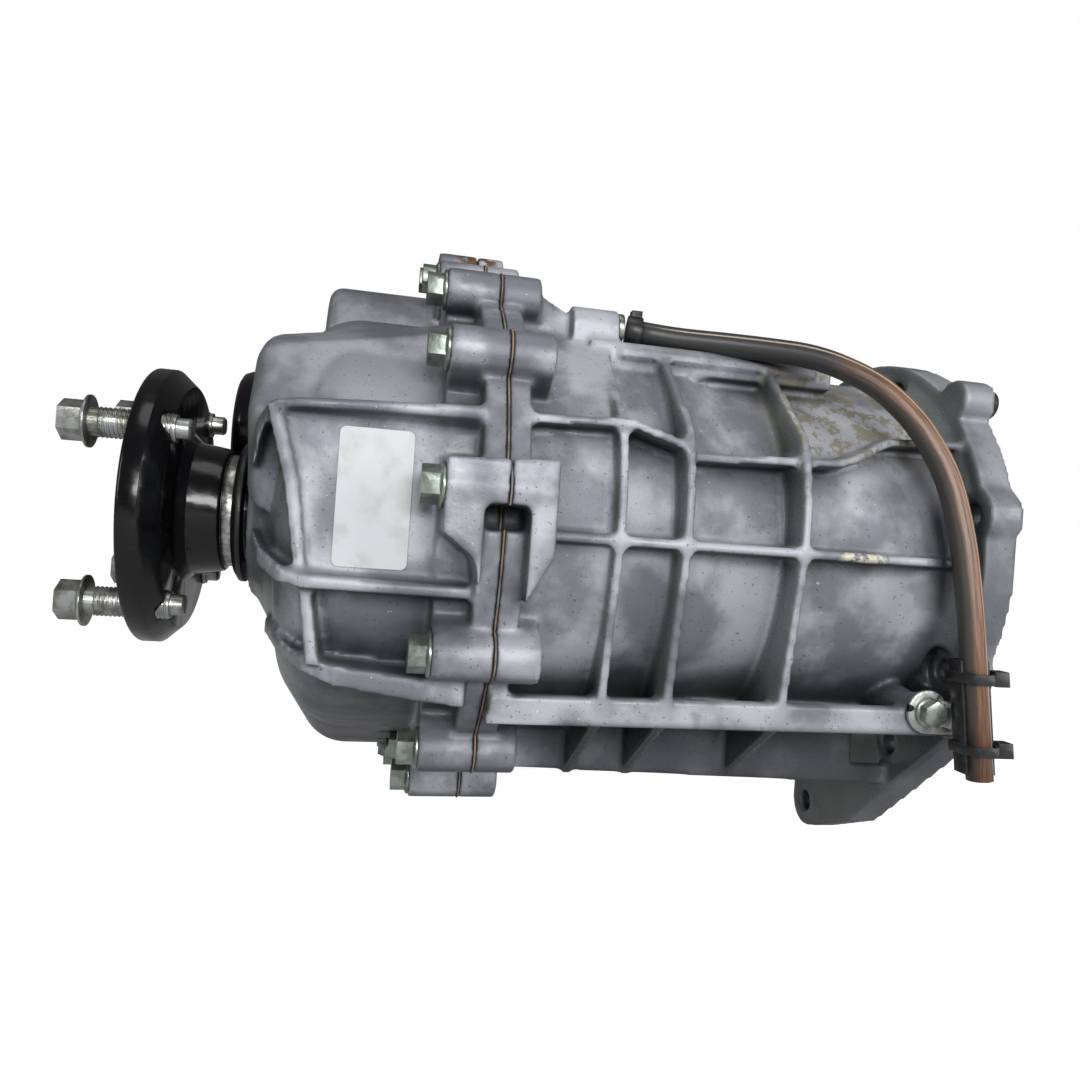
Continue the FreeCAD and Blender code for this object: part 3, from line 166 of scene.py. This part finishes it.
def blend_colour(tree, share, first, second):
    mixer = node(tree, "ShaderNodeMix", {"Factor": share}, data_type="RGBA")
    for socket, value in zip((6, 7), (first, second)):
        if isinstance(value, bpy.types.NodeSocket):
            tree.links.new(value, mixer.inputs[socket])
        else:
            mixer.inputs[socket].default_value = (*value, 1.0)
    return mixer.outputs[2]


def near_point(tree, coords, point, reach, soft=0.0006):
    """1 within reach of a point, in metres."""
    gap = node(tree, "ShaderNodeVectorMath", {0: coords, 1: point}, operation="DISTANCE").outputs["Value"]
    return between(tree, gap, reach + soft, reach - soft)


def window(tree, value, low, high, soft):
    """1 where a value lies between low and high."""
    return maths(tree, "MULTIPLY", between(tree, value, low - soft, low + soft),
                 between(tree, value, high + soft, high - soft))


def new_material(name, **values):
    made = bpy.data.materials.new(name)
    made.use_nodes = True
    shader = made.node_tree.nodes["Principled BSDF"]
    for key, value in values.items():
        socket = shader.inputs[key.replace("_", " ")]
        socket.default_value = (*value, 1.0) if isinstance(value, tuple) else value
    return made, made.node_tree, shader


def mottled(tree, coords, scale, low, high, first, second, detail=3.0):
    """Two colours in soft patches."""
    return blend_colour(tree, between(tree, noise(tree, coords, scale, detail), low, high), first, second)


def paint(tree, shader, colour):
    tree.links.new(colour, shader.inputs["Base Color"])


def roughen(tree, shader, pattern, spread, least):
    """Roughness from least to least plus spread."""
    tree.links.new(maths(tree, "MULTIPLY_ADD", pattern, spread, least), shader.inputs["Roughness"])


def add_bump(tree, shader, height, strength, distance):
    bump = node(tree, "ShaderNodeBump", {"Strength": strength, "Distance": distance, "Height": height})
    tree.links.new(bump.outputs["Normal"], shader.inputs["Normal"])


def dress(name, material, edge=0.0):
    """Gives a CAD node its finish and, if asked for, worn edges of that width."""
    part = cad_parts[name]
    part.data.materials.clear()
    part.data.materials.append(material)
    if edge:
        part.modifiers.new("weld", "WELD").merge_threshold = 0.00001
        round_off = part.modifiers.new("edges", "BEVEL")
        round_off.width = edge
        round_off.segments = 2
        round_off.limit_method = "ANGLE"
        round_off.angle_limit = math.radians(35.0)
        round_off.harden_normals = True
        part.data.polygons.foreach_set("use_smooth", [True] * len(part.data.polygons))
    return part


cast, tree, shader = new_material("cast_aluminium", Metallic=0.25, Specular_IOR_Level=0.5)
coords = object_coordinates(tree)
place = node(tree, "ShaderNodeSeparateXYZ", {"Vector": coords})
normal = node(tree, "ShaderNodeNewGeometry").outputs["Normal"]
facing = node(tree, "ShaderNodeSeparateXYZ", {"Vector": normal})
tone = noise(tree, coords, 24.0, 4.0)
grain = noise(tree, coords, 1100.0, 2.0)
lumps = noise(tree, coords, 170.0, 3.0)
specks = noise(tree, coords, 620.0, 2.0, 0.7)
chips = noise(tree, coords, 380.0, 2.0, 0.6)
colour = blend_colour(tree, between(tree, tone, 0.40, 0.60), (0.165, 0.170, 0.198), (0.400, 0.406, 0.446))
# greener, darker tone: a painted sheen on walls that face along the shafts, and an oily film in patches
# elsewhere
sideways_sheen = between(tree, maths(tree, "ABSOLUTE", facing.outputs["X"]), 0.45, 0.85)
patches = maths(tree, "MULTIPLY", between(tree, noise(tree, coords, 31.0), 0.58, 0.66), 0.6)
film_and_sheen = maths(tree, "MAXIMUM", sideways_sheen, patches)
colour = blend_colour(tree, maths(tree, "MULTIPLY", film_and_sheen, 0.75), colour, (0.15, 0.175, 0.165))
pits = maths(tree, "MULTIPLY", between(tree, specks, 0.655, 0.70), 0.75)
colour = blend_colour(tree, pits, colour, (0.05, 0.052, 0.055))
bare = maths(tree, "MULTIPLY", between(tree, chips, 0.735, 0.76), 0.6)
colour = blend_colour(tree, bare, colour, (0.62, 0.63, 0.62))
# olive and yellow staining on the upper barrel
stain = maths(tree, "MULTIPLY", window(tree, place.outputs["X"], -0.105, -0.030, 0.006),
              window(tree, place.outputs["Z"], 0.040, 0.085, 0.006))
stain = maths(tree, "MULTIPLY", stain, between(tree, noise(tree, coords, 130.0, 4.0, 0.7), 0.47, 0.56))
colour = blend_colour(tree, maths(tree, "MULTIPLY", stain, 0.75), colour, (0.20, 0.185, 0.095))
# painted shade: crevices darkened to near black from ambient occlusion
crevice = node(tree, "ShaderNodeAmbientOcclusion", {"Distance": 0.022}, samples=6).outputs["AO"]
crevice_shade = between(tree, crevice, 0.80, 0.25)
colour = blend_colour(tree, maths(tree, "MULTIPLY", crevice_shade, 0.88), colour, (0.020, 0.022, 0.025))
# painted shade on faces that look downwards
underside_shade = between(tree, facing.outputs["Z"], -0.45, -0.95)
colour = blend_colour(tree, maths(tree, "MULTIPLY", underside_shade, 0.72), colour, (0.025, 0.028, 0.030))
# painted shade: darker tops on the rear half
upper = maths(tree, "MULTIPLY", between(tree, place.outputs["X"], -0.225, -0.245),
              between(tree, facing.outputs["Z"], 0.1, 0.8))
colour = blend_colour(tree, maths(tree, "MULTIPLY", upper, 0.5), colour, (0.09, 0.095, 0.11))
# painted shadow under the shelf, and a duller rim on the plate
low = maths(tree, "MULTIPLY", between(tree, place.outputs["Z"], -0.0745, -0.0790),
            window(tree, place.outputs["X"], -0.200, -0.018, 0.008))
colour = blend_colour(tree, maths(tree, "MULTIPLY", low, 0.8), colour, (0.020, 0.022, 0.025))
rim = between(tree, place.outputs["X"], -0.017, -0.012)
colour = blend_colour(tree, maths(tree, "MULTIPLY", rim, 0.45), colour, (0.10, 0.11, 0.13))
# a chipped, flaky place on the main rib, a rusty one on the top lug and a dab of marking paint
flaky = maths(tree, "MULTIPLY", near_point(tree, coords, (-0.075, -0.106, -0.004), 0.010, 0.002),
              between(tree, noise(tree, coords, 420.0, 3.0, 0.7), 0.45, 0.52))
colour = blend_colour(tree, flaky, colour, (0.55, 0.53, 0.42))
rusty = maths(tree, "MULTIPLY", near_point(tree, coords, (-0.227, 0.070, 0.158), 0.013, 0.003),
              between(tree, noise(tree, coords, 260.0, 3.0), 0.38, 0.50))
colour = blend_colour(tree, rusty, colour, (0.115, 0.060, 0.024))
dab = near_point(tree, coords, (-0.003, -0.0905, 0.0590), 0.0042, 0.0008)
colour = blend_colour(tree, dab, colour, (0.05, 0.42, 0.33))
paint(tree, shader, colour)
roughen(tree, shader, film_and_sheen, -0.22, maths(tree, "MULTIPLY_ADD", grain, 0.20, 0.42))
height = maths(tree, "ADD", maths(tree, "MULTIPLY", grain, 0.35), lumps)
add_bump(tree, shader, height, 0.32, 0.0006)


def finish_here(piece):
    """Applies a piece's place and its modifiers, in their order."""
    bpy.context.view_layer.objects.active = piece
    piece.select_set(True)
    bpy.ops.object.transform_apply(location=True, rotation=True, scale=True)
    for step in list(piece.modifiers):
        bpy.ops.object.modifier_apply(modifier=step.name)
    piece.select_set(False)
    return piece


def bar(low, high):
    """Extra metal with flat sides between two corners, in millimetres."""
    centre = [(a + b) / 2000 for a, b in zip(low, high)]
    sides = [(b - a) / 1000 for a, b in zip(low, high)]
    bpy.ops.mesh.primitive_cube_add(size=1.0, location=centre, scale=sides)
    return finish_here(bpy.context.object)


def hoop(x0, x1, outer, wall):
    """Extra skin round the main shaft between two stations, in millimetres."""
    bpy.ops.mesh.primitive_cylinder_add(
        vertices=96, radius=outer / 1000, depth=(x1 - x0) / 1000, end_fill_type="NOTHING",
        location=((x0 + x1) / 2000, 0.0, 0.0), rotation=(0.0, math.pi / 2, 0.0))
    made = bpy.context.object
    made.modifiers.new("wall", "SOLIDIFY").thickness = wall / 1000
    return finish_here(made)


most_triangles = 190000


def casting(name, extras):
    """Copy of a CAD casting with its extra metal, melted into one rounded skin."""
    shell = bpy.data.objects.new(name + "_skin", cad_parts[name].data.copy())
    bpy.context.scene.collection.objects.link(shell)
    for piece in extras + [shell]:
        piece.select_set(True)
    bpy.context.view_layer.objects.active = shell
    bpy.ops.object.join()
    shell.modifiers.new("weld", "WELD").merge_threshold = 0.00001
    skin = shell.modifiers.new("melt", "REMESH")
    skin.mode = "VOXEL"
    skin.voxel_size = 0.0015
    skin.use_smooth_shade = True
    soften = shell.modifiers.new("soften", "SMOOTH")
    soften.factor = 0.5
    soften.iterations = 2
    finish_here(shell)
    full = sum(len(face.vertices) - 2 for face in shell.data.polygons)
    shell.modifiers.new("thin", "DECIMATE").ratio = min(1.0, most_triangles / full)
    finish_here(shell)
    shell.data.materials.clear()
    shell.data.materials.append(cast)
    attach(shell, "case")
    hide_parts(name)
    return shell


casting("rear_case", [hoop(-251.0, -234.0, 101.5, 9.0)])
# skin by the joint, the fuller skin under the cells, the web behind the ledge, the shelf's edge
casting("front_case", [
    hoop(-220.0, -182.0, 101.0, 8.0),
    hoop(-140.0, -22.0, 90.0, 13.5),
    bar((-186.0, -58.0, 76.0), (-68.0, -36.0, 88.0)),
    bar((-226.0, -93.0, -75.5), (-20.0, -84.0, -66.5)),
])

# ---- Joint sealant --------------------------------------------------------------------------
# A bead of silicone that was squeezed out between the two halves when the screws were pulled
# down. It has picked up rust-brown dirt along the joint.
bead, tree, shader = new_material("sealant", Roughness=0.7)
coords = object_coordinates(tree)
place = node(tree, "ShaderNodeSeparateXYZ", {"Vector": coords})
colour = mottled(tree, coords, 120.0, 0.42, 0.58, (0.10, 0.055, 0.018), (0.30, 0.18, 0.06))
line = maths(tree, "MULTIPLY", window(tree, place.outputs["X"], -0.22750, -0.22710, 0.0001),
             between(tree, noise(tree, coords, 34.0), 0.42, 0.50))
colour = blend_colour(tree, line, (0.17, 0.17, 0.18), colour)
paint(tree, shader, colour)
add_bump(tree, shader, noise(tree, coords, 700.0), 0.4, 0.0004)
dress("case_sealant", bead)


# ---- Zinc-plated screws and plugs -----------------------------------------------------------
# Cold-formed steel screws with a hexagon head and a pressed-on flange, yellow-green passivated
# zinc, rubbed bright on their corners, with painted shade where head and flange meet.
def zinc_finish(name, light, dark):
    made, tree, shader = new_material(name, Metallic=0.85)
    coords = object_coordinates(tree)
    colour = mottled(tree, coords, 160.0, 0.38, 0.62, dark, light)
    # painted shade where head and flange meet, from ambient occlusion
    joint_shade = node(tree, "ShaderNodeAmbientOcclusion", {"Distance": 0.003}, samples=6).outputs["AO"]
    joint_shade = maths(tree, "MULTIPLY", between(tree, joint_shade, 0.72, 0.3), 0.8)
    colour = blend_colour(tree, joint_shade, colour, (0.04, 0.04, 0.03))
    paint(tree, shader, colour)
    roughen(tree, shader, noise(tree, coords, 420.0), 0.28, 0.20)
    add_bump(tree, shader, noise(tree, coords, 900.0), 0.25, 0.0003)
    return made


screw_zinc = zinc_finish("zinc", (0.33, 0.38, 0.34), (0.19, 0.22, 0.19))
for name in ("case_bolts", "shift_motor_bolts", "fill_plug", "drain_plug", "vent_fitting"):
    dress(name, screw_zinc, 0.0004)

flange_zinc = zinc_finish("flange_screw_zinc", (0.40, 0.42, 0.41), (0.20, 0.20, 0.17))
dress("flange_bolts", flange_zinc, 0.0005)
thread_start_x = -0.3903
thread_pitch = 0.00175
screw_r = 0.0058
screw_circle_r = 0.054
first_screw_angle = 53.0
bpy.ops.mesh.primitive_circle_add(vertices=3, radius=0.00085, location=(screw_r, 0.0, 0.0),
                                  rotation=(math.pi / 2, 0.0, 0.0))
first_thread = bpy.context.object
first_thread.name = "bolt_thread_1"
bpy.ops.object.transform_apply(location=True, rotation=True, scale=True)
turns = first_thread.modifiers.new("helix", "SCREW")
turns.screw_offset = thread_pitch
turns.iterations = 17
turns.steps = 20
turns.render_steps = 20
turns.use_merge_vertices = False
finish_here(first_thread)
lay_along_x = Matrix.Translation((thread_start_x, 0.0, 0.0)) @ Matrix.Rotation(math.pi / 2, 4, "Y")
first_thread.data.transform(lay_along_x)
threads = [first_thread]
for number in (2, 3, 4):
    thread = bpy.data.objects.new("bolt_thread_%d" % number, first_thread.data.copy())
    bpy.context.scene.collection.objects.link(thread)
    threads.append(thread)
for number, thread in enumerate(threads):
    angle = math.radians(first_screw_angle + 90.0 * number)
    place_on_circle = (0.0, screw_circle_r * math.cos(angle), screw_circle_r * math.sin(angle))
    thread.data.transform(Matrix.Translation(place_on_circle))
    thread.data.materials.clear()
    thread.data.materials.append(flange_zinc)
    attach(thread, "output")

# ---- Rear output flange ---------------------------------------------------------------------
# Forged steel companion flange with turned faces, dipped in glossy black paint that gathered
# in small runs and lets a little dust show.
black, tree, shader = new_material("flange_black", Specular_IOR_Level=0.42)
coords = object_coordinates(tree)
dust = between(tree, noise(tree, coords, 900.0, 2.0, 0.7), 0.68, 0.74)
colour = blend_colour(tree, maths(tree, "MULTIPLY", dust, 0.25), (0.002, 0.002, 0.003), (0.08, 0.08, 0.09))
paint(tree, shader, colour)
roughen(tree, shader, noise(tree, coords, 120.0), 0.16, 0.10)
add_bump(tree, shader, noise(tree, coords, 260.0, 3.0), 0.12, 0.0006)
for name in ("rear_output_flange", "front_output_flange"):
    dress(name, black, 0.0007)

# ---- Dust ring and spacer -------------------------------------------------------------------
# A pressed black dust ring in front of the seal, and the bright ground steel ring that spaces
# it from the flange.
dull_black, tree, shader = new_material("motor_black", Roughness=0.42)
coords = object_coordinates(tree)
colour = mottled(tree, coords, 40.0, 0.4, 0.65, (0.006, 0.006, 0.007), (0.016, 0.017, 0.018))
paint(tree, shader, colour)
add_bump(tree, shader, noise(tree, coords, 800.0), 0.25, 0.0004)
dress("dust_ring", dull_black, 0.0005)
bright, tree, shader = new_material("machined_steel", Metallic=1.0)
coords = object_coordinates(tree)
colour = mottled(tree, coords, 240.0, 0.35, 0.65, (0.22, 0.22, 0.21), (0.50, 0.50, 0.48))
paint(tree, shader, colour)
roughen(tree, shader, noise(tree, coords, 600.0), 0.3, 0.16)
add_bump(tree, shader, noise(tree, coords, 1300.0), 0.3, 0.0002)
dress("spacer_ring", bright, 0.0003)

# ---- Shift motor ----------------------------------------------------------------------------
# Deep-drawn steel can in glossy black paint on a die-cast plate, with a moulded plug socket.
# It stands behind the flange on the chain side.
dress("shift_motor", black, 0.0008)

# ---- Blank label ----------------------------------------------------------------------------
# White polyester label with rounded corners, left bare, slightly yellowed and dusty at the rim.
paper, tree, shader = new_material("label_white", Roughness=0.42)
coords = object_coordinates(tree)
colour = mottled(tree, coords, 90.0, 0.45, 0.75, (0.56, 0.57, 0.59), (0.46, 0.46, 0.46), detail=4.0)
paint(tree, shader, colour)
add_bump(tree, shader, noise(tree, coords, 120.0), 0.1, 0.0004)
dress("part_label", paper)

# ---- Vent hose ------------------------------------------------------------------------------
# Extruded rubber hose, soft black near its fitting and weathered copper brown further on, with
# a pale parting seam along the outer side. The lower end is cut square.
hose, tree, shader = new_material("hose_rubber", Roughness=0.45)
coords = object_coordinates(tree)
place = node(tree, "ShaderNodeSeparateXYZ", {"Vector": coords})
wander = maths(tree, "MULTIPLY", noise(tree, coords, 60.0), 0.03)
worn = between(tree, maths(tree, "ADD", place.outputs["X"], wander), -0.075, -0.035)
# how steeply the hose hangs at each station, from which its outer side and its length follow
hose_start_x = -0.170
hose_run_x = 0.155
station = maths(tree, "MULTIPLY_ADD", place.outputs["X"], 1 / hose_run_x, -hose_start_x / hose_run_x)
steep = node(tree, "ShaderNodeFloatCurve", {"Value": station})
bends = steep.mapping.curves[0].points
bends[0].location = (0.0, 0.06)
bends[1].location = (1.0, 0.935)
for part_way, share in ((0.45, 0.07), (0.63, 0.25), (0.75, 0.48), (0.84, 0.66), (0.905, 0.85), (0.94, 0.93)):
    bends.new(part_way, share)
steep.mapping.update()
lean = maths(tree, "MULTIPLY", steep.outputs[0], math.pi / 2)
normal = node(tree, "ShaderNodeNewGeometry").outputs["Normal"]
facing = node(tree, "ShaderNodeSeparateXYZ", {"Vector": normal})
around = maths(tree, "ADD", maths(tree, "MULTIPLY", facing.outputs["X"], maths(tree, "SINE", lean)),
               maths(tree, "MULTIPLY", facing.outputs["Z"], maths(tree, "COSINE", lean)))
along = maths(tree, "SUBTRACT", place.outputs["X"], place.outputs["Z"])
lengthwise = node(tree, "ShaderNodeCombineXYZ", {"X": maths(tree, "MULTIPLY", around, 7.0),
                                                 "Y": maths(tree, "MULTIPLY", along, 45.0)})
streak = noise(tree, lengthwise.outputs[0], 1.0, 5.0, 0.7)
brown_and_shade = blend_colour(tree, between(tree, streak, 0.36, 0.62), (0.085, 0.050, 0.034), (0.250, 0.128, 0.074))
# painted shade: dark grey on the inner and lower side of the hose
brown_and_shade = blend_colour(tree, between(tree, around, -0.30, -0.75), brown_and_shade, (0.050, 0.046, 0.040))
colour = blend_colour(tree, worn, (0.028, 0.028, 0.029), brown_and_shade)
outer = between(tree, facing.outputs["Y"], 0.0, -0.3)
beside = maths(tree, "ABSOLUTE", maths(tree, "SUBTRACT", around, 0.50))
seam_run = maths(tree, "MULTIPLY", outer, between(tree, place.outputs["X"], -0.16, -0.14))
seam = maths(tree, "MULTIPLY", between(tree, beside, 0.085, 0.04), seam_run)
colour = blend_colour(tree, maths(tree, "MULTIPLY", seam, 0.8), colour, (0.52, 0.42, 0.30))
paint(tree, shader, colour)
roughen(tree, shader, streak, 0.3, 0.25)
add_bump(tree, shader, maths(tree, "ADD", streak, seam), 0.3, 0.0004)
tube = dress("vent_hose", hose)
tube.modifiers.new("weld", "WELD").merge_threshold = 0.00001
tube.data.polygons.foreach_set("use_smooth", [True] * len(tube.data.polygons))

# ---- Hose clamp, channel, ties and plate plug -----------------------------------------------
# Moulded black nylon: a clip on the fitting, a U-shaped channel behind the hose, two cable
# ties and a plug pressed into a spare hole of the plate.
nylon, tree, shader = new_material("black_plastic", Roughness=0.38)
coords = object_coordinates(tree)
colour = mottled(tree, coords, 200.0, 0.4, 0.7, (0.008, 0.008, 0.009), (0.022, 0.022, 0.022))
paint(tree, shader, colour)
add_bump(tree, shader, noise(tree, coords, 1200.0), 0.3, 0.0003)
for name in ("hose_clamp", "hose_channel", "hose_ties", "plate_plug"):
    dress(name, nylon, 0.0003)

# ---- Hose bracket ---------------------------------------------------------------------------
# Stamped steel tab, bright zinc plate, held by one small screw.
tab, tree, shader = new_material("bracket_zinc", Metallic=0.8)
coords = object_coordinates(tree)
colour = mottled(tree, coords, 110.0, 0.4, 0.6, (0.38, 0.38, 0.37), (0.62, 0.62, 0.60))
slit = node(tree, "ShaderNodeMapping", {"Vector": coords, "Location": (0.0195, 0.0, 0.0655),
                                        "Scale": (0.45, 0.0, 1.0)})
slot = near_point(tree, slit.outputs[0], (0.0, 0.0, 0.0), 0.0017, 0.0002)
colour = blend_colour(tree, slot, colour, (0.02, 0.02, 0.02))
paint(tree, shader, colour)
roughen(tree, shader, noise(tree, coords, 500.0), 0.3, 0.2)
dress("hose_bracket", tab, 0.0005)
dress("hose_bracket_screw", screw_zinc, 0.0003)

# ---- Locating stud --------------------------------------------------------------------------
# Short turned steel stud with a wide foot, pressed into the casting at the vent, dull with oil
# and dirt. The boss of the vent covers it.
bpy.ops.mesh.primitive_cylinder_add(vertices=24, radius=0.0023, depth=0.0085,
                                    location=(-0.190, -0.041, 0.0873))
stud = bpy.context.object
stud.name = "locating_stud"
bpy.ops.object.mode_set(mode="EDIT")
shape = bmesh.from_edit_mesh(stud.data)
for face in shape.faces:
    face.select_set(face.normal.z < -0.9)
bmesh.update_edit_mesh(stud.data)
bpy.ops.mesh.extrude_region_move(TRANSFORM_OT_translate={"value": (0.0, 0.0, -0.0004)})
bpy.ops.transform.resize(value=(2.1, 2.1, 1.0))
bpy.ops.mesh.extrude_region_move(TRANSFORM_OT_translate={"value": (0.0, 0.0, -0.0022)})
bpy.ops.object.mode_set(mode="OBJECT")
soft_edge = stud.modifiers.new("edges", "BEVEL")
soft_edge.width = 0.0004
soft_edge.segments = 2
finish_here(stud)
stud.data.materials.append(dull_black)
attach(stud, "case")

# ---- Shafts and bearings --------------------------------------------------------------------
# Ground and induction-hardened steel, bright, with a thin film of oil.
for name in ("main_shaft", "input_shaft", "front_output_shaft", "rear_flange_nut", "front_flange_nut",
             "case_dowels", "shift_rail", "planet_pins", "shift_cam", "rear_bearing", "input_bearing",
             "pocket_bearing", "front_bearing"):
    dress(name, bright)

# ---- Gears, chain wheels and collars --------------------------------------------------------
# Case-hardened gear steel, darker than the shafts from its heat treatment.
gear, tree, shader = new_material("gear_steel", Metallic=1.0)
coords = object_coordinates(tree)
colour = mottled(tree, coords, 130.0, 0.35, 0.65, (0.16, 0.16, 0.17), (0.34, 0.33, 0.32))
paint(tree, shader, colour)
roughen(tree, shader, noise(tree, coords, 700.0), 0.3, 0.22)
for name in ("ring_gear", "planet_gear_1", "planet_gear_2", "planet_gear_3", "planet_gear_4",
             "planet_carrier", "drive_sprocket", "driven_sprocket", "drive_chain", "mode_collar",
             "range_hub", "tone_ring"):
    dress(name, gear)

# ---- Forks and pump -------------------------------------------------------------------------
# Small aluminium castings, brighter and cleaner than the case because they run in oil.
clean_cast, tree, shader = new_material("fork_aluminium", Metallic=0.7)
coords = object_coordinates(tree)
colour = mottled(tree, coords, 60.0, 0.35, 0.65, (0.38, 0.38, 0.39), (0.56, 0.56, 0.57))
paint(tree, shader, colour)
roughen(tree, shader, noise(tree, coords, 600.0), 0.2, 0.38)
add_bump(tree, shader, noise(tree, coords, 900.0), 0.3, 0.0004)
for name in ("mode_fork", "range_fork", "oil_pump"):
    dress(name, clean_cast)

# ---- Shaft seals ----------------------------------------------------------------------------
# Brown fluoro-rubber moulded on a steel case.
rubber, tree, shader = new_material("seal_rubber", Roughness=0.55)
coords = object_coordinates(tree)
colour = mottled(tree, coords, 150.0, 0.4, 0.6, (0.035, 0.018, 0.012), (0.06, 0.03, 0.02))
paint(tree, shader, colour)
add_bump(tree, shader, noise(tree, coords, 900.0), 0.2, 0.0003)
for name in ("rear_seal", "input_seal", "front_seal"):
    dress(name, rubber)
